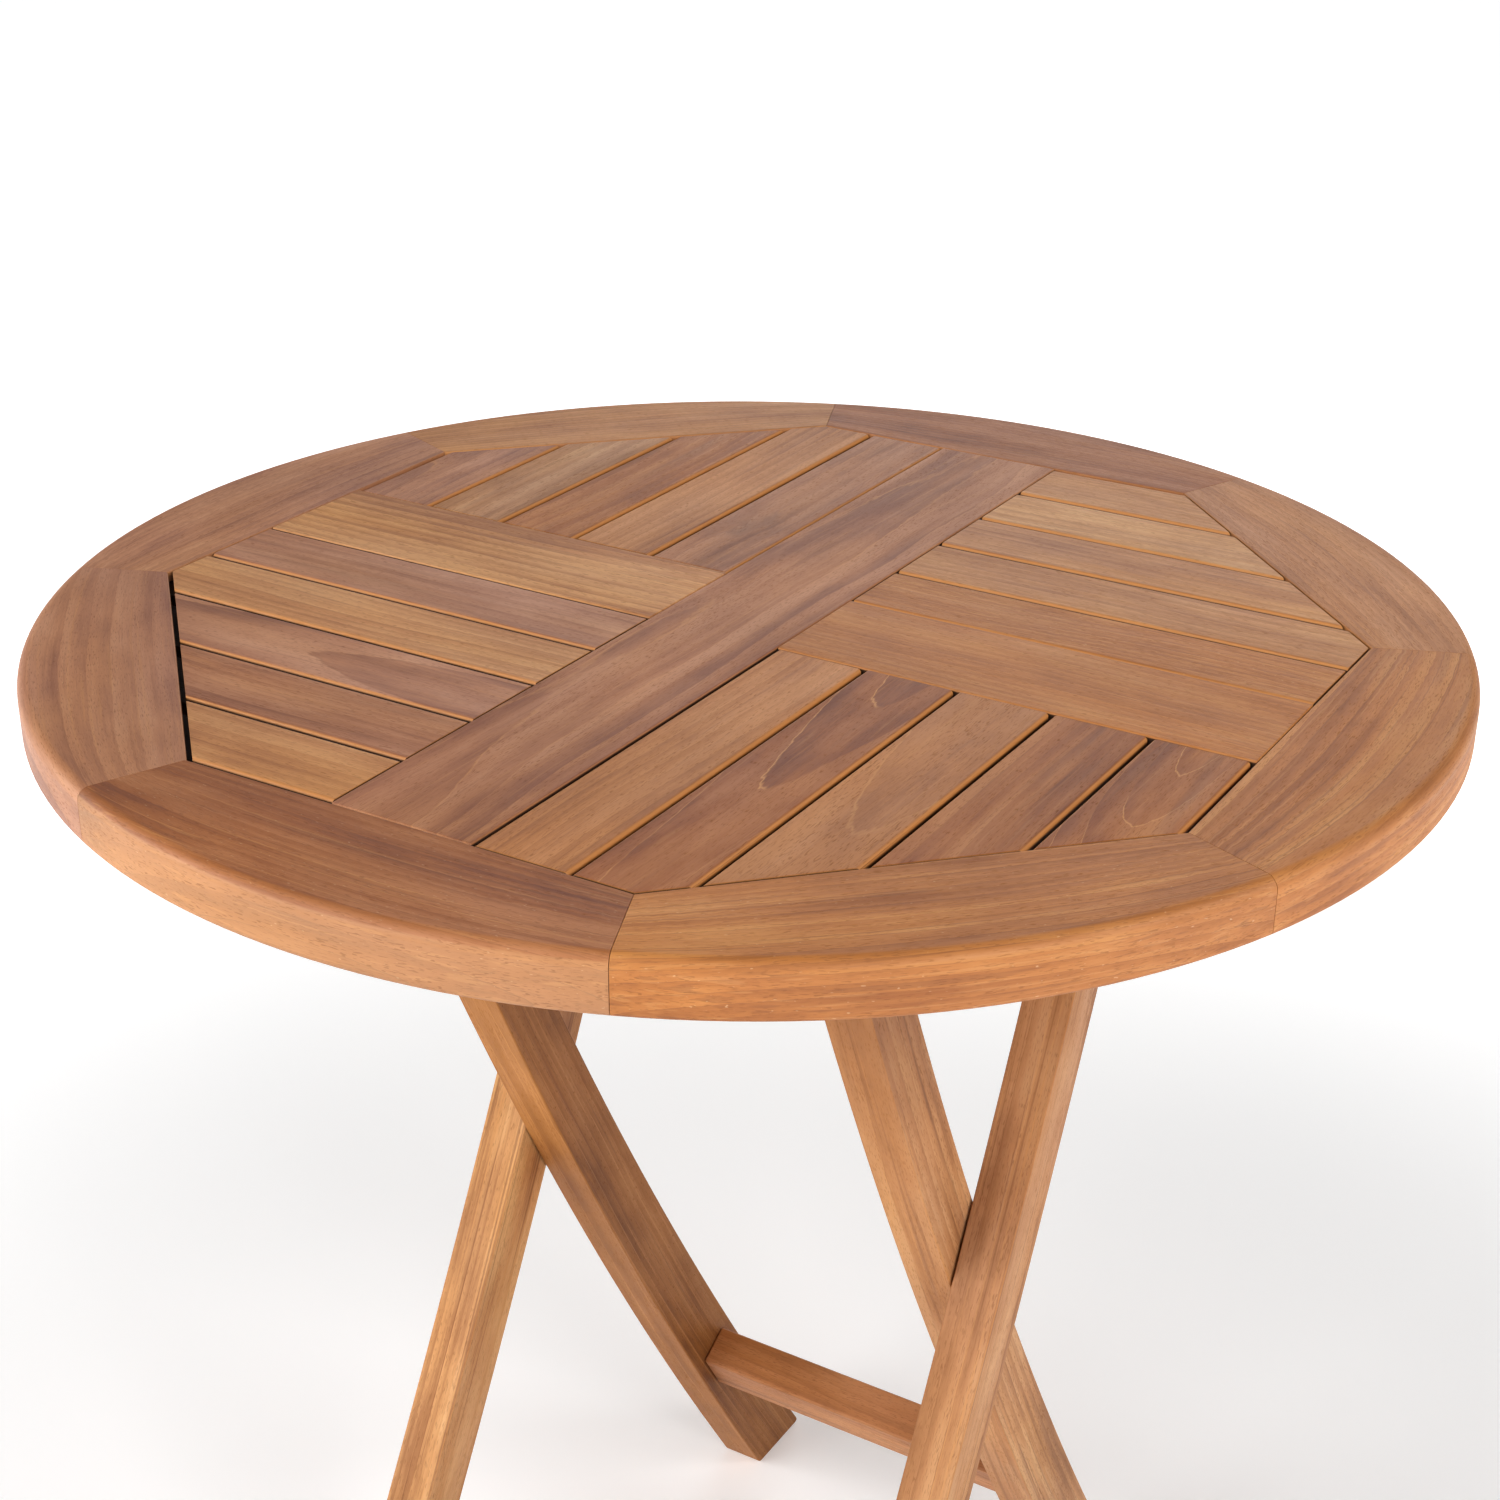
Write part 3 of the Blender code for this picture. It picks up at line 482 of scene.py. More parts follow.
def solid(name, outline, low, high, plane="XY", arris=0.0, segments=4, bend=30, grain=None):
    """A flat outline made solid with rounded arrises, from z = low to high, or from x in plane YZ.

    With a grain direction, only the edges along it are rounded fully.
    """
    bm = bmesh.new()
    if plane == "XY":
        corners = [bm.verts.new((a, b, low)) for a, b in outline]
        along = Vector((0, 0, high - low))
    else:
        corners = [bm.verts.new((low, a, b)) for a, b in outline]
        along = Vector((high - low, 0, 0))
    grown = bmesh.ops.extrude_face_region(bm, geom=[bm.faces.new(corners)])
    moved = [v for v in grown["geom"] if isinstance(v, bmesh.types.BMVert)]
    bmesh.ops.translate(bm, verts=moved, vec=along)
    bmesh.ops.recalc_face_normals(bm, faces=bm.faces)
    if grain:
        def along_grain(edge):
            run = edge.verts[1].co - edge.verts[0].co
            return abs(run.normalized().dot(grain)) > 0.99

        round_edges(bm, arris, segments, bend, along_grain)
        round_edges(bm, SLAT_END_ARRIS, 2, 60)
    elif arris:
        round_edges(bm, arris, segments, bend)
    return object_from(bm, name)


def rod(name, radius, start, end, sides, arris=0.0):
    start, end = Vector(start), Vector(end)
    bm = bmesh.new()
    bmesh.ops.create_cone(bm, cap_ends=True, segments=sides, radius1=radius, radius2=radius,
                          depth=(end - start).length)
    if arris:
        round_edges(bm, arris, 3, 60)
    turn = Vector((0, 0, 1)).rotation_difference(end - start).to_matrix().to_4x4()
    bmesh.ops.transform(bm, matrix=Matrix.Translation((start + end) / 2) @ turn, verts=bm.verts)
    return object_from(bm, name)


def combine(target, tools, operation):
    """Applies a Boolean with each tool, and removes the tool."""
    for tool in tools:
        step = target.modifiers.new("combine", "BOOLEAN")
        step.operation = operation
        step.object = tool
        graph = bpy.context.evaluated_depsgraph_get()
        mesh = bpy.data.meshes.new_from_object(target.evaluated_get(graph))
        target.modifiers.clear()
        old = target.data
        target.data = mesh
        bpy.data.meshes.remove(old)
        bpy.data.objects.remove(tool)
    return target


def arc(middle, radius, start, end, steps):
    """The points of an arc, from one angle in degrees to the other."""
    angles = [math.radians(start + (end - start) * k / steps) for k in range(steps + 1)]
    return [(middle[0] + radius * math.cos(a), middle[1] + radius * math.sin(a)) for a in angles]


def rectangle(x_low, x_high, y_low, y_high):
    return [(x_low, y_low), (x_high, y_low), (x_high, y_high), (x_low, y_high)]


def finish_piece(made, node, material, wood, arris=None, side=None):
    """Gives a wooden piece its grain, arris and side attributes, its shading and its place in the frame.

    wood turns a point into the board's own (along, across, through). arris and side turn it into 0 to 1: how
    far it is on a rounded edge, and whether it is on the rim's round side or a leg's inner face.
    """
    mesh = made.data
    points = [v.co for v in mesh.vertices]
    grain = mesh.attributes.new("wood", "FLOAT_VECTOR", "POINT")
    grain.data.foreach_set("vector", [number for p in points for number in wood(p)])
    for name, share in (("arris", arris), ("side", side)):
        layer = mesh.attributes.new(name, "FLOAT", "POINT")
        layer.data.foreach_set("value", [share(p) if share else 0.0 for p in points])
    mesh.materials.clear()
    mesh.materials.append(material)
    mesh.shade_smooth()
    mesh.set_sharp_from_angle(angle=math.radians(38))
    even = made.modifiers.new("even_normals", "WEIGHTED_NORMAL")
    even.keep_sharp = True
    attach(made, frame["nodes"][node]["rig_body"])
    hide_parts(node)
    return made


def board_axes(middle, along, across):
    """The wood coordinates of a straight board."""
    middle, along, across = Vector(middle), Vector(along), Vector(across)
    through = along.cross(across)
    return lambda p: ((p - middle).dot(along), (p - middle).dot(across), (p - middle).dot(through))


# The top


def rim_profile(beyond):
    """(radius, z) of a rim segment's section. beyond turns a distance from the octagon's side to a radius."""
    low = TONGUE_MIDDLE - TONGUE_THICKNESS / 2 - FIT
    high = TONGUE_MIDDLE + TONGUE_THICKNESS / 2 + FIT
    deep = TONGUE_LENGTH + 2 * FIT
    arrises_apart = HEIGHT - UNDERSIDE - RIM_TOP_ARRIS - RIM_BOTTOM_ARRIS
    side = [(TOP_RADIUS, UNDERSIDE + RIM_BOTTOM_ARRIS + share * arrises_apart) for share in (0.33, 0.66)]
    lower = arc((TOP_RADIUS - RIM_BOTTOM_ARRIS, UNDERSIDE + RIM_BOTTOM_ARRIS), RIM_BOTTOM_ARRIS, -90, 0, 6)
    upper = arc((TOP_RADIUS - RIM_TOP_ARRIS, HEIGHT - RIM_TOP_ARRIS), RIM_TOP_ARRIS, 0, 90, 10)
    third = 0.3 * RIM_EASE
    inner = [(beyond(RIM_EASE), HEIGHT), (beyond(third), HEIGHT - third), (beyond(0), HEIGHT - RIM_EASE)]
    inner += [(beyond(0), high), (beyond(deep), high), (beyond(deep), low), (beyond(0), low)]
    inner += [(beyond(0), UNDERSIDE + RIM_EASE), (beyond(RIM_EASE), UNDERSIDE)]
    return lower + side + upper + inner


def rim_segment(number, **look):
    name = f"rim_segment_{number}"
    half_angle = math.pi / 8
    facing = math.pi / 2 - (number - 1) * math.pi / 4
    bm = bmesh.new()
    sections = []
    for k in range(RIM_STEPS + 1):
        angle = -half_angle + 2 * half_angle * k / RIM_STEPS
        pull = {0: FIT / 2, RIM_STEPS: -FIT / 2}.get(k, 0)  # opens the mitres
        sine, cosine = math.sin(facing + angle), math.cos(facing + angle)
        profile = rim_profile(lambda beyond: (PANEL_APOTHEM + beyond) / math.cos(angle))
        sections.append([bm.verts.new((r * cosine - sine * pull, r * sine + cosine * pull, z))
                         for r, z in profile])
    count = len(sections[0])
    for first, second in zip(sections, sections[1:]):
        for i in range(count):
            j = (i + 1) % count
            bm.faces.new((first[i], first[j], second[j], second[i]))
    bm.faces.new(sections[0])
    bm.faces.new(sections[-1])
    out = Vector((math.cos(facing), math.sin(facing), 0))
    tangent = Vector((-out.y, out.x, 0))
    width = TOP_RADIUS - PANEL_APOTHEM
    inner_ease = 0.0006

    def wood(p):
        beyond = p.dot(out) - PANEL_APOTHEM
        turned = math.atan2(p.dot(tangent), p.dot(out))
        share = beyond / (TOP_RADIUS * math.cos(turned) - PANEL_APOTHEM)
        across = beyond + RIM_BEND * (share * width - beyond)
        return p.dot(tangent), across - width / 2, p.z - (HEIGHT + UNDERSIDE) / 2

    # how much of the orange arris colour, fresh wood and a painted highlight, a point gets
    def arris(p):
        from_side = (TOP_RADIUS - math.hypot(p.x, p.y)) / RIM_TOP_ARRIS
        from_top = (HEIGHT - p.z) / RIM_TOP_ARRIS
        outside = 0.35 if 0 < from_side < 1 and 0 < from_top < 1 else 0.0
        by_panel = 0 <= p.dot(out) - PANEL_APOTHEM < inner_ease
        inside = 1.0 if by_panel and p.z > HEIGHT - 2 * inner_ease else 0.0
        return max(outside, inside)

    # the round side, which gets a painted sheen
    def side(p):
        low_enough = p.z < HEIGHT - RIM_TOP_ARRIS / 2
        return 1.0 if low_enough and math.hypot(p.x, p.y) > TOP_RADIUS - 0.003 else 0.0

    finish_piece(object_from(bm, name + "_wood"), name, teak(name, **look), wood, arris, side)


def tongue(outline):
    low = TONGUE_MIDDLE - TONGUE_THICKNESS / 2
    return solid("tongue", outline, low, low + TONGUE_THICKNESS, arris=0.0005, segments=2)


def groove(x_low, x_high, y_low, y_high):
    reach = TONGUE_THICKNESS / 2 + FIT
    outline = rectangle(*sorted((x_low, x_high)), *sorted((y_low, y_high)))
    return solid("groove", outline, TONGUE_MIDDLE - reach, TONGUE_MIDDLE + reach)


def centre_plank(**look):
    end = PANEL_APOTHEM - FIT
    plank = solid("centre_plank_wood", rectangle(-HALF_BOARD, HALF_BOARD, -end, end), UNDERSIDE, HEIGHT,
                  arris=BOARD_ARRIS, segments=3)
    reach = PANEL_APOTHEM + TONGUE_LENGTH
    combine(plank, [tongue(rectangle(-NARROW_TONGUE, NARROW_TONGUE, -reach, reach))], "UNION")
    sides = [groove(s * GROOVE_FLOOR, s * (HALF_BOARD + CUT_PAST), -end - CUT_PAST, end + CUT_PAST)
             for s in (-1, 1)]
    combine(plank, sides, "DIFFERENCE")
    middle = (0, 0, (HEIGHT + UNDERSIDE) / 2)
    finish_piece(plank, "centre_plank", teak("centre_plank", thickness=HEIGHT - UNDERSIDE, **look),
                 board_axes(middle, (0, 1, 0), (-1, 0, 0)))


def cross_rail(side, **look):
    name = "cross_rail_" + side
    sign = -1 if side == "left" else 1
    inner, outer = HALF_BOARD + FIT, PANEL_APOTHEM - FIT
    x_low, x_high = sorted((sign * inner, sign * outer))
    rail = solid(name + "_wood", rectangle(x_low, x_high, -HALF_BOARD, HALF_BOARD), UNDERSIDE, HEIGHT,
                 arris=BOARD_ARRIS, segments=3)
    x_low, x_high = sorted((sign * (inner - TONGUE_LENGTH), sign * (outer + TONGUE_LENGTH)))
    combine(rail, [tongue(rectangle(x_low, x_high, -NARROW_TONGUE, NARROW_TONGUE))], "UNION")
    sides = [groove(x_low - CUT_PAST, x_high + CUT_PAST, s * GROOVE_FLOOR, s * (HALF_BOARD + CUT_PAST))
             for s in (-1, 1)]
    combine(rail, sides, "DIFFERENCE")
    middle = (sign * (inner + outer) / 2, 0, (HEIGHT + UNDERSIDE) / 2)
    finish_piece(rail, name, teak(name, thickness=HEIGHT - UNDERSIDE, **look),
                 board_axes(middle, (1, 0, 0), (0, 1, 0)))


def clipped(outline, limit):
    """The part of a convex outline inside the octagon's diagonal side, at that distance from the middle."""
    kept = []
    for (a, b), (c, d) in zip(outline, outline[1:] + outline[:1]):
        here = (a + b) * math.sqrt(0.5) - limit
        there = (c + d) * math.sqrt(0.5) - limit
        if here <= 0:
            kept.append((a, b))
        if here * there < 0:
            share = here / (here - there)
            kept.append((a + (c - a) * share, b + (d - b) * share))
    return kept


QUADRANTS = {  # from (across, along) distances from the middle of the top to x and y
    "front": lambda across, along: (across, -along),
    "right": lambda across, along: (along, across),
    "back": lambda across, along: (-across, along),
    "left": lambda across, along: (-along, -across),
}


def slat(quadrant, number, **look):
    name = f"slat_{quadrant}_{number}"
    dice = random.Random(name)
    to_world = QUADRANTS[quadrant]
    pitch = (PANEL_APOTHEM - HALF_BOARD - SLAT_GAP / 2) / SLATS_PER_QUADRANT
    low = HALF_BOARD + SLAT_GAP / 2 + (number - 1) * pitch
    high = low + pitch - SLAT_GAP
    diagonal_gap = OPEN_END_GAP if quadrant == "left" else END_GAP
    strip = rectangle(low, high, HALF_BOARD + END_GAP, PANEL_APOTHEM - END_GAP)
    shape = [to_world(*p) for p in clipped(strip, PANEL_APOTHEM - diagonal_gap)]
    along = Vector((*to_world(0, 1), 0))
    across = Vector((*to_world(1, 0), 0))
    if along.cross(across).z < 0:
        across = -across
    top = HEIGHT - dice.uniform(0.0, SLAT_DROP)
    made = solid(name + "_wood", shape, HEIGHT - SLAT_THICKNESS, top, arris=dice.uniform(*SLAT_ARRISES),
                 grain=along)
    reach = PANEL_APOTHEM + TONGUE_LENGTH
    strip = rectangle(low + TONGUE_INSET, high - TONGUE_INSET, HALF_BOARD - TONGUE_LENGTH, reach)
    combine(made, [tongue([to_world(*p) for p in clipped(strip, reach)])], "UNION")
    x, y = to_world((low + high) / 2, (HALF_BOARD + PANEL_APOTHEM) / 2)
    # the depths at which painted shade in the gaps sets in; edge is orange on the arrises, fresh wood and a
    # painted highlight
    gap_shade_depths = FRONT_BACK_SHADE_DEPTHS if quadrant in ("front", "back") else LEFT_RIGHT_SHADE_DEPTHS
    wood = teak(name, thickness=SLAT_THICKNESS, edge=0.95, grain=tuple(along), gap_shade_depths=gap_shade_depths, **look)
    finish_piece(made, name, wood, board_axes((x, y, top - SLAT_THICKNESS / 2), along, across))


# Legs


def middle_y(t):
    return -LEG_TOP_Y + LEG_SLOPE * t + LEG_CURVE * t * t


def middle_slope(t):
    return LEG_SLOPE + 2 * LEG_CURVE * t


def half_width(t, widths):
    return (widths[0] + (widths[1] - widths[0]) * t / HEIGHT) / 2


def leg_side(t, widths, way):
    """(y, z) on an inner leg's edge beside its middle line at depth t. way is -1 or 1, for the edge."""
    slope = middle_slope(t)
    length = math.hypot(1, slope)
    half = half_width(t, widths)
    return middle_y(t) + way * half / length, HEIGHT - t + way * half * slope / length


def floor_depth(widths, way):
    """The depth t at which a leg's edge reaches the floor."""
    low, high = 0.5, 1.0
    for _ in range(40):
        t = (low + high) / 2
        low, high = (t, high) if leg_side(t, widths, way)[1] > 0 else (low, t)
    return low


def softened(before, corner, after, radius):
    """A corner of an outline rounded off, between the points before and after it."""
    corner, before, after = Vector(corner), Vector(before), Vector(after)
    start = corner + (before - corner).normalized() * radius
    end = corner + (after - corner).normalized() * radius
    shares = [k / 6 for k in range(7)]
    return [tuple(start * (1 - s) ** 2 + corner * 2 * s * (1 - s) + end * s * s) for s in shares]


def leg_outline(start, widths, mirrored):
    edges = {}
    for way in (-1, 1):
        end = floor_depth(widths, way)
        depths = [start + (end - start) * k / LEG_STATIONS for k in range(LEG_STATIONS + 1)]
        edges[way] = [leg_side(t, widths, way) for t in depths]
    front, back = edges[-1], edges[1]
    toe = softened(front[-2], front[-1], back[-1], TOE_RADIUS)
    heel = softened(front[-1], back[-1], back[-2], HEEL_RADIUS)
    lean = math.degrees(math.atan(middle_slope(start)))
    crown = arc((middle_y(start), HEIGHT - start), half_width(start, widths), lean, 180 + lean, 20)[1:-1]
    outline = front[:-1] + toe + heel + back[-2::-1] + crown
    return [(-y, z) for y, z in outline] if mirrored else outline


def bar_box(name, half_length, section, way, arris=0.0):
    """A box along X at a stretcher's place, turned with the legs. way is 1 on the inner frame, else -1."""
    half_thick, half_deep = section[0] / 2, section[1] / 2
    outline = rectangle(-half_length, half_length, -half_thick, half_thick)
    made = solid(name, outline, -half_deep, half_deep, arris=arris)
    turn = Matrix.Rotation(way * math.atan(middle_slope(STRETCHER_DEPTH)), 4, "X")
    place = Matrix.Translation((0, way * middle_y(STRETCHER_DEPTH), HEIGHT - STRETCHER_DEPTH))
    made.data.transform(place @ turn)
    return made


def leg(node, start, widths, mirrored, tools, **look):
    low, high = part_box(node)[0].x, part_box(node)[1].x
    way = -1 if mirrored else 1
    outline = leg_outline(start, widths, mirrored)
    made = solid(node + "_wood", outline, low, high, "YZ", LEG_ARRIS)
    combine(made, tools, "DIFFERENCE")
    bm = bmesh.new()
    bm.from_mesh(made.data)
    for k in range(1, LEG_STATIONS):  # level cuts, so that the grain can follow the curve
        everything = bm.verts[:] + bm.edges[:] + bm.faces[:]
        bmesh.ops.bisect_plane(bm, geom=everything, dist=1e-6, plane_co=(0, 0, HEIGHT * k / LEG_STATIONS),
                               plane_no=(0, 0, 1))
    bm.to_mesh(made.data)
    bm.free()
    centre = (low + high) / 2

    def wood(p):
        t = HEIGHT - p.z
        slope = middle_slope(t)
        across = (way * p.y - middle_y(t)) / math.hypot(1, slope)
        return t * math.hypot(1, LEG_SLOPE + LEG_CURVE * t), across, p.x - centre

    # how much of the orange arris colour, fresh wood and a painted highlight, a point gets
    def arris(p):
        t = HEIGHT - p.z
        across = abs(way * p.y - middle_y(t)) / math.hypot(1, middle_slope(t))
        from_edge = (half_width(t, widths) - across) / LEG_ARRIS
        from_face = min(p.x - low, high - p.x) / LEG_ARRIS
        return 0.6 if 0.02 < from_edge < 0.9 and 0.02 < from_face < 0.9 else 0.0

    # the inner face, which gets painted shade
    def inner_side(p):
        return 1.0 if abs(p.x) < min(abs(low), abs(high)) + 0.0008 else 0.0

    finish_piece(made, node, teak(node, gloss=LEG_GLOSS, **look), wood, arris, inner_side)


def stretcher(node, half_length, way, **look):
    made = bar_box(node + "_wood", half_length - FIT, STRETCHER_SECTION, way, LEG_ARRIS)
    tenon = bar_box("tenon", half_length + TENON_LENGTH - FIT, TENON_SECTION, way)
    combine(made, [tenon], "UNION")
    lean = way * math.atan(middle_slope(STRETCHER_DEPTH))
    middle = (0, way * middle_y(STRETCHER_DEPTH), HEIGHT - STRETCHER_DEPTH)
    finish_piece(made, node, teak(node, **look),
                 board_axes(middle, (1, 0, 0), (0, math.cos(lean), math.sin(lean))))


def mortise(half_length, way):
    section = [size + 2 * FIT for size in TENON_SECTION]
    return bar_box("mortise", half_length + TENON_LENGTH, section, way)


def bore(radius, axis, x_start, x_end):
    """The tool that cuts a round hole along X. axis is its (y, z)."""
    return rod("bore", radius, (x_start, *axis), (x_end, *axis), 24)


def joint_place(name):
    return next(joint["pos_m"] for joint in frame["joints"] if joint["name"] == name)


def leg_frames():
    scissor = joint_place("leg_fold")[1:]
    hinge = joint_place("top_tilt")[1:]
    bar = (middle_y(BAR_DEPTH), HEIGHT - BAR_DEPTH)
    inner_face, inner_back = (corner.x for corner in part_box("inner_leg_right"))
    outer_face, outer_back = (corner.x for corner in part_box("outer_leg_right"))
    pin_start, pin_end = (corner.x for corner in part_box("scissor_pin_right"))
    insert_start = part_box("hinge_insert_right")[0].x
    bar_end = inner_face + TENON_LENGTH
    # shade is painted shade at a leg's top and on its inner face
    looks = {
        "inner_leg_left": dict(
            tone="hazel", pith=(0.05, 0.03), ring=0.006, wander=0.002, wisps=1.0, lines=0.45, line="pale",
            shade=0.2, hairs=2.0),
        "inner_leg_right": dict(
            tone="sand", pith=(-0.07, 0.02), ring=0.007, wander=0.002, bands=0.8, wisps=1.25, minerals=0.3,
            shade=0.55, hairs=2.4),
        "outer_leg_left": dict(
            tone="wheat", pith=(0.02, -0.09), wander=0.002, wisps=1.4, lines=0.75, line="pale",
            shade=0.03, hairs=3.0),
        "outer_leg_right": dict(
            tone="sand", pith=(-0.03, 0.12), ring=0.009, wander=0.0018, wisps=1.0, lines=0.5,
            shade=0.35, hairs=2.4),
    }
    for side, sign in (("left", -1), ("right", 1)):
        tools = [
            mortise(inner_face, 1),
            bore(BAR_TENON_RADIUS + FIT, bar, -bar_end, bar_end),
            bore(PIN_RADIUS + FIT, scissor, sign * (pin_start - FIT), sign * (inner_back + CUT_PAST)),
        ]
        node = "inner_leg_" + side
        leg(node, BAR_DEPTH, INNER_LEG_WIDTHS, False, tools, **looks[node])
        tools = [
            mortise(outer_face, -1),
            bore(INSERT_RADIUS + FIT, hinge, sign * (insert_start - FIT), sign * (outer_back + CUT_PAST)),
            bore(PIN_RADIUS + FIT, scissor, sign * (outer_face - CUT_PAST), sign * (pin_end + FIT)),
        ]
        node = "outer_leg_" + side
        leg(node, HINGE_DEPTH, OUTER_LEG_WIDTHS, True, tools, **looks[node])
    stretcher("inner_stretcher", inner_face, 1, pith=(0.02, 0.05), wisps=0.8, minerals=0.25)
    stretcher("outer_stretcher", outer_face, -1, pith=(-0.03, 0.05), wisps=0.8)
    half = inner_face - FIT
    made = rod("inner_top_bar_wood", TOP_BAR_RADIUS, (-half, *bar), (half, *bar), 64, BAR_ARRIS)
    half = bar_end - FIT
    tenon = rod("tenon", BAR_TENON_RADIUS, (-half, *bar), (half, *bar), 48, BAR_ARRIS)
    combine(made, [tenon], "UNION")
    finish_piece(made, "inner_top_bar", teak("inner_top_bar", pith=(0.03, 0.02)),
                 board_axes((0, *bar), (1, 0, 0), (0, 1, 0)))


# What is fastened under the top


def screw_hole(x, y, bottom, end):
    """The tool that cuts a screw's hole up through a piece, from its underside to z = end."""
    return rod("hole", SCREW_RADIUS, (x, y, bottom - CUT_PAST), (x, y, end), 24)


def batten(side):
    node = "batten_" + side
    (low_x, _, bottom), (high_x, high_y, top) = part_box(node)
    shoulder, tip = high_y - BATTEN_TAPER[0], top - BATTEN_TAPER[1]
    half = [(shoulder, bottom), (high_y, tip), (high_y, top)]
    outline = half + [(-y, z) for y, z in reversed(half)]
    made = solid(node + "_wood", outline, low_x, high_x, "YZ", BATTEN_ARRIS, bend=20)
    hinge = joint_place("top_tilt")[1:]
    tools = [bore(PIN_RADIUS + FIT, hinge, low_x - CUT_PAST, high_x + CUT_PAST)]
    for end in ("front", "back"):
        screw_low, screw_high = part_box(f"batten_screw_{side}_{end}")
        x, y, _ = (screw_low + screw_high) / 2
        head = screw_low.z + SCREW_HEAD_HEIGHT
        tools.append(screw_hole(x, y, bottom, top + CUT_PAST))
        tools.append(rod("well", SCREW_WELL_RADIUS, (x, y, bottom - CUT_PAST), (x, y, head + FIT), 32))
    combine(made, tools, "DIFFERENCE")
    middle = ((low_x + high_x) / 2, 0, (bottom + top) / 2)
    finish_piece(made, node, teak(node, pith=(0.05, 0.04), wisps=0.8),
                 board_axes(middle, (0, 1, 0), (0, 0, 1)))


def catch_rail():
    low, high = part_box("catch_rail")
    y, z = middle_y(BAR_DEPTH), HEIGHT - BAR_DEPTH
    reach = half_width(BAR_DEPTH, INNER_LEG_WIDTHS) + CATCH_CLEARANCE
    hook = arc((y, z), reach, 180, 90, 16)
    outline = [(low.y, high.z), (low.y, low.z), (y - reach, low.z)] + hook
    outline += [(high.y, z + reach), (high.y, high.z)]
    made = solid("catch_rail_wood", outline, low.x, high.x, "YZ", CATCH_ARRIS, 3)
    finish_piece(made, "catch_rail", teak("catch_rail", tone="honey", pith=(0.04, -0.05), wisps=0.8),
                 board_axes((low + high) / 2, (1, 0, 0), (0, 1, 0)))


def turn_button():
    x, y, _ = joint_place("button_turn")
    hole_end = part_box("turn_button_screw")[1].z + FIT
    low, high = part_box("turn_button")
    half = (high.y - low.y) / 2
    outline = arc((high.x - half, y), half, -90, 90, 20) + arc((low.x + half, y), half, 90, 270, 20)
    button = solid("turn_button_wood", outline, low.z, high.z, arris=BUTTON_ARRIS)
    combine(button, [screw_hole(x, y, low.z, hole_end)], "DIFFERENCE")
    finish_piece(button, "turn_button", teak("turn_button", tone="amber", pith=(0.03, 0.05)),
                 board_axes((x, y, (low.z + high.z) / 2), (1, 0, 0), (0, 1, 0)))
    low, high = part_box("latch_block")
    block = solid("latch_block_wood", rectangle(low.x, high.x, low.y, high.y), low.z, high.z,
                  arris=BLOCK_ARRIS)
    combine(block, [screw_hole(x, y, low.z, hole_end)], "DIFFERENCE")
    finish_piece(block, "latch_block", teak("latch_block", pith=(0.03, 0.05)),
                 board_axes((low + high) / 2, (1, 0, 0), (0, 1, 0)))


def hardware():
    """The metal pieces keep their CAD shapes."""
    metals = {"brass": metal("brass", BRASS, 0.28), "steel": metal("steel", STEEL, 0.24)}
    for name, node in frame["nodes"].items():
        if SLOTS[name] in metals:
            node.data.materials.clear()
            node.data.materials.append(metals[SLOTS[name]])


# The boards' looks


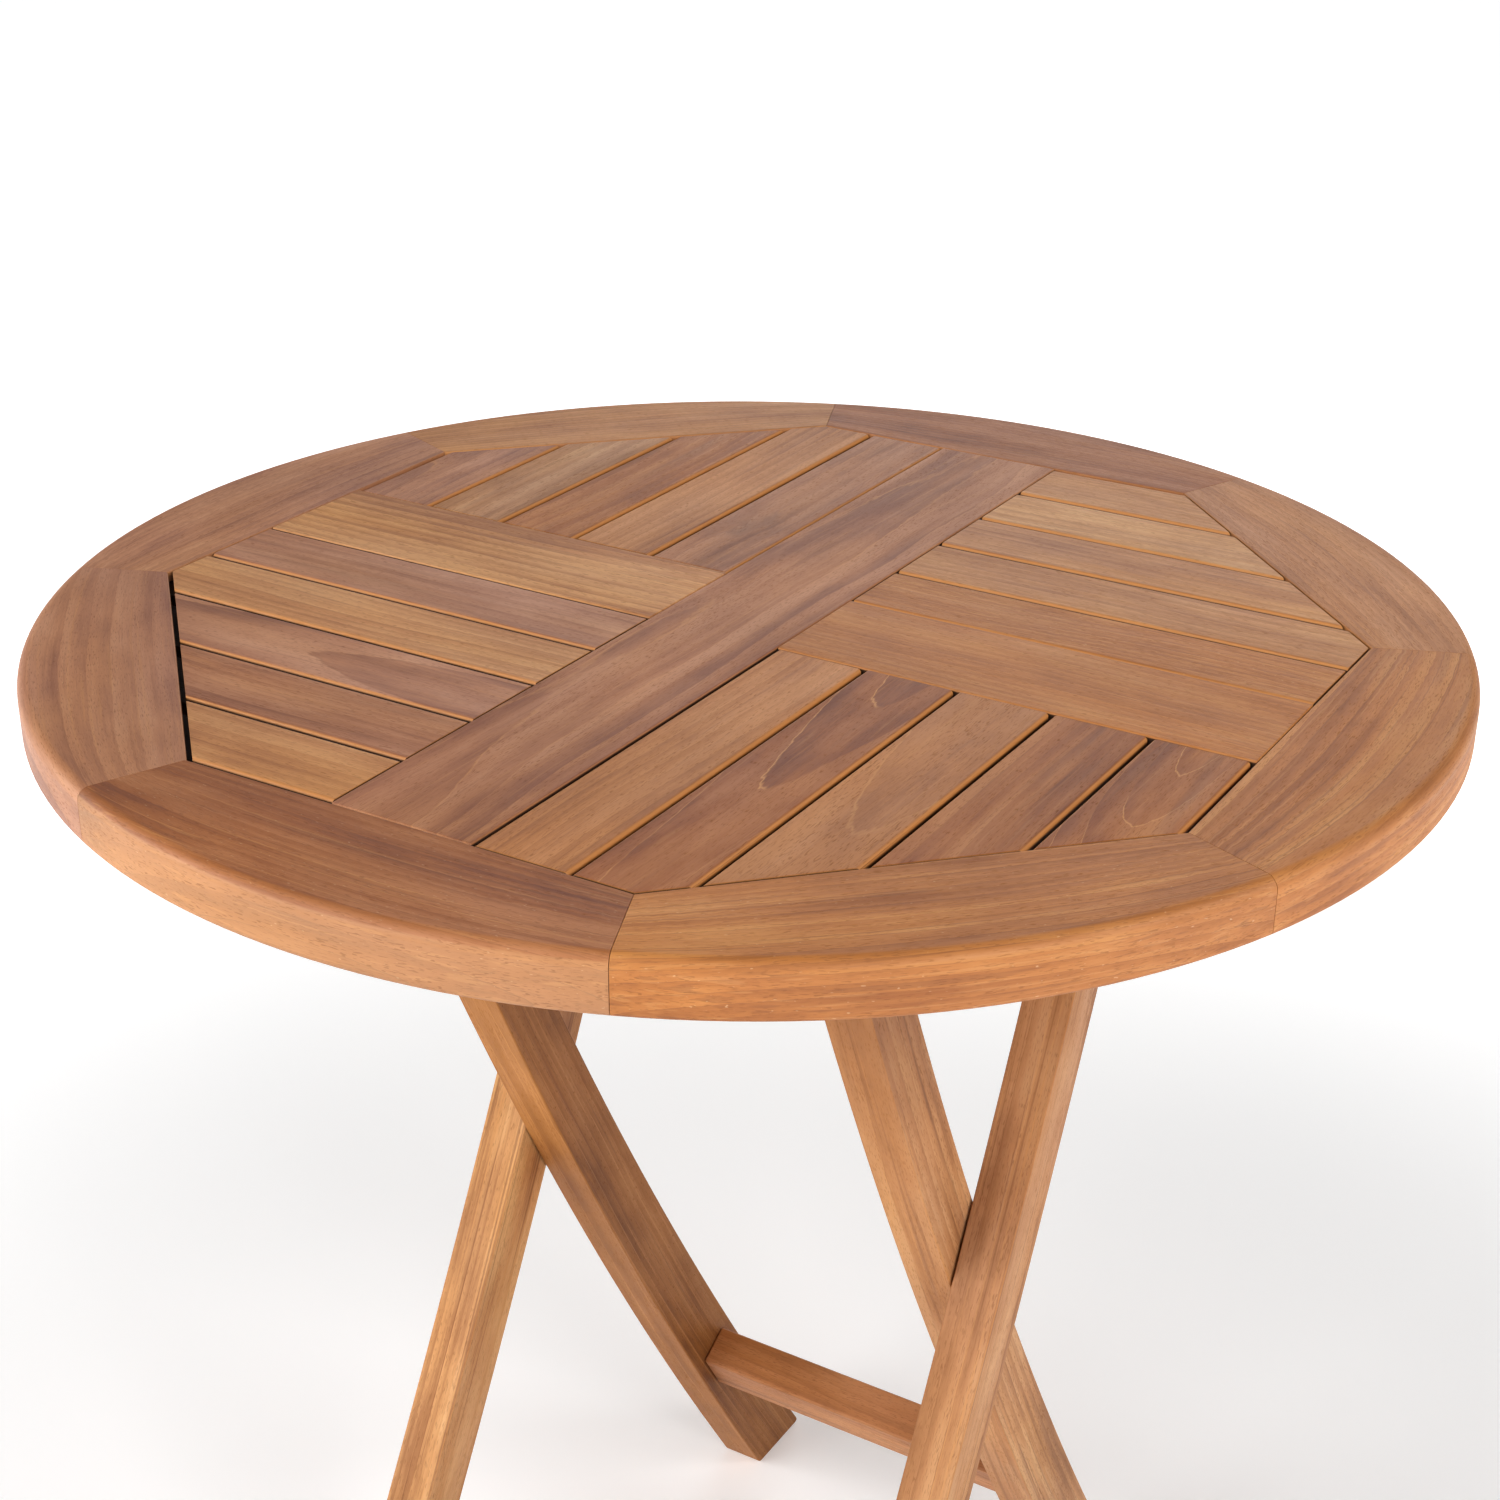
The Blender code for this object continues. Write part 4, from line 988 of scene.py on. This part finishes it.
def table_top():
    rim = {
        1: dict(tone="umber", pith=(0.09, 0.02), wisps=0.7),
        2: dict(tone="tan", pith=(-0.08, 0.03), wisps=0.8, minerals=0.1),
        3: dict(tone="amber", pith=(0.05, -0.05), ring=0.0065, wisps=0.8, minerals=0.18, bands=0.7,
                lines=0.45, wander=0.004, hairs=1.8),
        4: dict(tone="amber", pith=(0.055, -0.028), ring=0.0045, wisps=0.9, lines=0.65, specks=0.3,
                wander=0.004, hairs=1.8),
        # rim 5's round side gets a painted sheen
        5: dict(tone="umber", pith=(0.10, -0.03), ring=0.005, wisps=1.1, minerals=0.15, lines=0.7,
                specks=0.2, side_sheen=0.4, wander=0.004, hairs=1.8),
        6: dict(tone="dusk", pith=(0.09, -0.04), ring=0.010, wisps=0.75, lines=0.2, specks=0.2,
                wander=0.004),
        7: dict(tone="dusk", pith=(-0.10, -0.03), wisps=0.8, minerals=0.1, lines=0.2, wander=0.004),
        8: dict(tone="honey", pith=(0.08, 0.02), wisps=0.7),
    }
    for number, look in rim.items():
        rim_segment(number, **look)
    centre_plank(tone="rose", pith=(0.02, -0.045), ring=0.011, lean=0.03, wander=0.010, wisps=1.1, bands=0.9,
                 lines=0.3, line="pale")
    cross_rail("left", tone="honey", pith=(0.10, -0.01), ring=0.008, wisps=1.3, bands=1.1, lines=0.5,
               line="pale", wander=0.003)
    cross_rail("right", tone="amber", pith=(0.08, -0.02), ring=0.005, wisps=0.55, lines=0.45, bands=0.4)
    slats = {
        "front": [
            dict(tone="tan", pith=(0.05, -0.03), wisps=0.6, minerals=0.12),
            dict(tone="umber", pith=(0.002, -0.022), ring=0.0085, lean=0.085, wander=0.007, lines=0.75,
                 line="pale", bands=0.7),
            dict(tone="tan", pith=(0.004, -0.035), ring=0.012, lean=0.06, wisps=0.45, lines=0.5,
                 line="pale", bands=0.25),
            dict(tone="russet", pith=(0.05, -0.02), ring=0.008, wisps=1.1, minerals=0.38),
            dict(tone="russet", pith=(0.003, -0.018), ring=0.0075, lean=0.12, wander=0.009, wisps=1.1,
                 lines=0.7, line="pale", minerals=0.3),
        ],
        "right": [
            dict(tone="amber", pith=(0.06, -0.01), wisps=0.5, lines=0.3, specks=0.35, fibre=0.7),
            dict(tone="honey", pith=(0.05, -0.03), wisps=0.5, lines=0.2),
            dict(tone="honey", pith=(-0.05, -0.03), wisps=0.65, lines=0.3),
            dict(tone="straw", pith=(-0.04, -0.03), wisps=0.8, minerals=0.12),
            dict(tone="honey", pith=(0.06, 0.02), wisps=0.6),
        ],
        "back": [
            dict(tone="smoke", pith=(0.03, -0.04), wisps=0.7, knot=(-0.052, 0.004, 0.017)),
            dict(tone="tan", pith=(0.07, 0.01), ring=0.006, wisps=1.2, bands=0.7, lines=0.4, line="pale"),
            dict(tone="russet", pith=(0.06, -0.02), ring=0.007, wisps=1.0, minerals=0.25),
            dict(tone="sand", pith=(0.04, -0.03), ring=0.008, wisps=1.2, minerals=0.2),
            dict(tone="dusk", pith=(0.02, -0.03), lean=0.06, wisps=0.9, lines=0.4, line="pale"),
        ],
        "left": [
            dict(tone="dusk", pith=(0.08, -0.01), ring=0.008, wisps=1.1, minerals=0.2),
            dict(tone="honey", pith=(0.09, 0.01), ring=0.005, wisps=0.9, bands=0.7, lines=0.45),
            dict(tone="dusk", pith=(0.002, -0.030), ring=0.013, lean=0.07, wisps=0.9, bands=1.0),
            dict(tone="rose", pith=(0.05, -0.03), wisps=0.9, minerals=0.15),
            dict(tone="honey", pith=(0.06, -0.02), ring=0.006, wisps=0.6, lines=0.3),
        ],
    }
    for quadrant, looks in slats.items():
        for number, look in enumerate(looks, 1):
            slat(quadrant, number, **look)


# Floor, light and camera


SOFTBOXES = (  # (name, azimuth and elevation in degrees, size in metres, watts)
    ("left", -150, 15, 1.3, 36),
    ("front_left", -115, 26, 1.5, 36),
    ("front_high", -100, 55, 1.3, 13),
    ("front_right", -30, 30, 1.3, 36),
    ("right", 10, 30, 1.3, 24),
    ("back", 108, 20, 2.4, 21),
)
SOFTBOX_DISTANCE = 3.0
SOFTBOX_AIM = 0.6  # height that the softboxes point at
# The room's grey by the sine of the height looked at: pale behind the floor's edge, and dim overhead
ROOM = ((0.0, 0.85), (0.07, 0.62), (0.20, 0.42), (0.30, 0.22), (0.42, 0.04), (1.0, 0.02))
FLOOR_SIZE = 60
FLOOR_GREY = 0.90
FLOOR_GLOW = (0.6, 1.9, 0.20, 0.92)  # distances in metres from the table, and the glow at each
CAMERA_PLACE = (0.5995, -0.9963, 1.2141)
CAMERA_TURN = (-0.5305, 0.4565, 0.0111)  # radians right from +Y, down from level, and about the view's axis
CAMERA_LENS = 59.66
CAMERA_SHIFT = (-1 / 60, 1 / 30)


def room():
    world = bpy.data.worlds.new("studio")
    bpy.context.scene.world = world
    t = Tree(world)
    height = t.split(t.coordinates("Generated"))[2]
    greys = [(place, (grey, grey, grey, 1)) for place, grey in ROOM]
    t.put(t.shader.inputs["Color"], t.ramp(height, greys))


def floor():
    """A lit paper sweep, which glows more where the softboxes' light runs out."""
    bpy.ops.mesh.primitive_plane_add(size=FLOOR_SIZE, location=(0, 0, -FIT))
    sweep = bpy.context.object
    sweep.name = "studio_floor"
    paper = bpy.data.materials.new("studio_floor_paper")
    t = Tree(paper)
    t.shader.inputs["Base Color"].default_value = (FLOOR_GREY, FLOOR_GREY, FLOOR_GREY, 1)
    t.shader.inputs["Roughness"].default_value = 0.9
    away = t.vector("LENGTH", t.coordinates("Object"))
    t.shader.inputs["Emission Color"].default_value = (1, 1, 1, 1)
    t.put(t.shader.inputs["Emission Strength"], t.step(away, *FLOOR_GLOW))
    sweep.data.materials.append(paper)


def softboxes():
    """Soft lights round the table, all turned to its upper half."""
    for name, azimuth, elevation, size, power in SOFTBOXES:
        light = bpy.data.lights.new(name + "_softbox", "AREA")
        light.shape = "DISK"
        light.size = size
        light.energy = power
        lamp = bpy.data.objects.new(name + "_softbox", light)
        raised = Matrix.Rotation(math.radians(-elevation), 3, "Y")
        outward = Matrix.Rotation(math.radians(azimuth), 3, "Z") @ raised @ Vector((1, 0, 0))
        lamp.location = Vector((0, 0, SOFTBOX_AIM)) + outward * SOFTBOX_DISTANCE
        lamp.rotation_euler = (-outward).to_track_quat("-Z", "Y").to_euler()
        bpy.context.scene.collection.objects.link(lamp)


def camera():
    """Over the table's front right, looking down at its top and half of its legs."""
    yaw, pitch, roll = CAMERA_TURN
    level_ahead = Vector((math.sin(yaw), math.cos(yaw), 0)) * math.cos(pitch)
    ahead = level_ahead - Vector((0, 0, math.sin(pitch)))
    level = Vector((math.cos(yaw), -math.sin(yaw), 0))
    upright = level.cross(ahead)
    right = level * math.cos(roll) + upright * math.sin(roll)
    up = upright * math.cos(roll) - level * math.sin(roll)
    made = bpy.data.cameras.new("camera")
    made.lens = CAMERA_LENS
    made.shift_x, made.shift_y = CAMERA_SHIFT
    rig = bpy.data.objects.new("camera", made)
    turn = Matrix((right, up, -ahead)).transposed().to_4x4()
    rig.matrix_world = Matrix.Translation(Vector(CAMERA_PLACE)) @ turn
    bpy.context.scene.collection.objects.link(rig)
    bpy.context.scene.camera = rig


camera()
table_top()
for side in ("left", "right"):
    batten(side)
catch_rail()
turn_button()
leg_frames()
hardware()

bpy.context.scene.view_settings.view_transform = "Standard"
room()
floor()
softboxes()
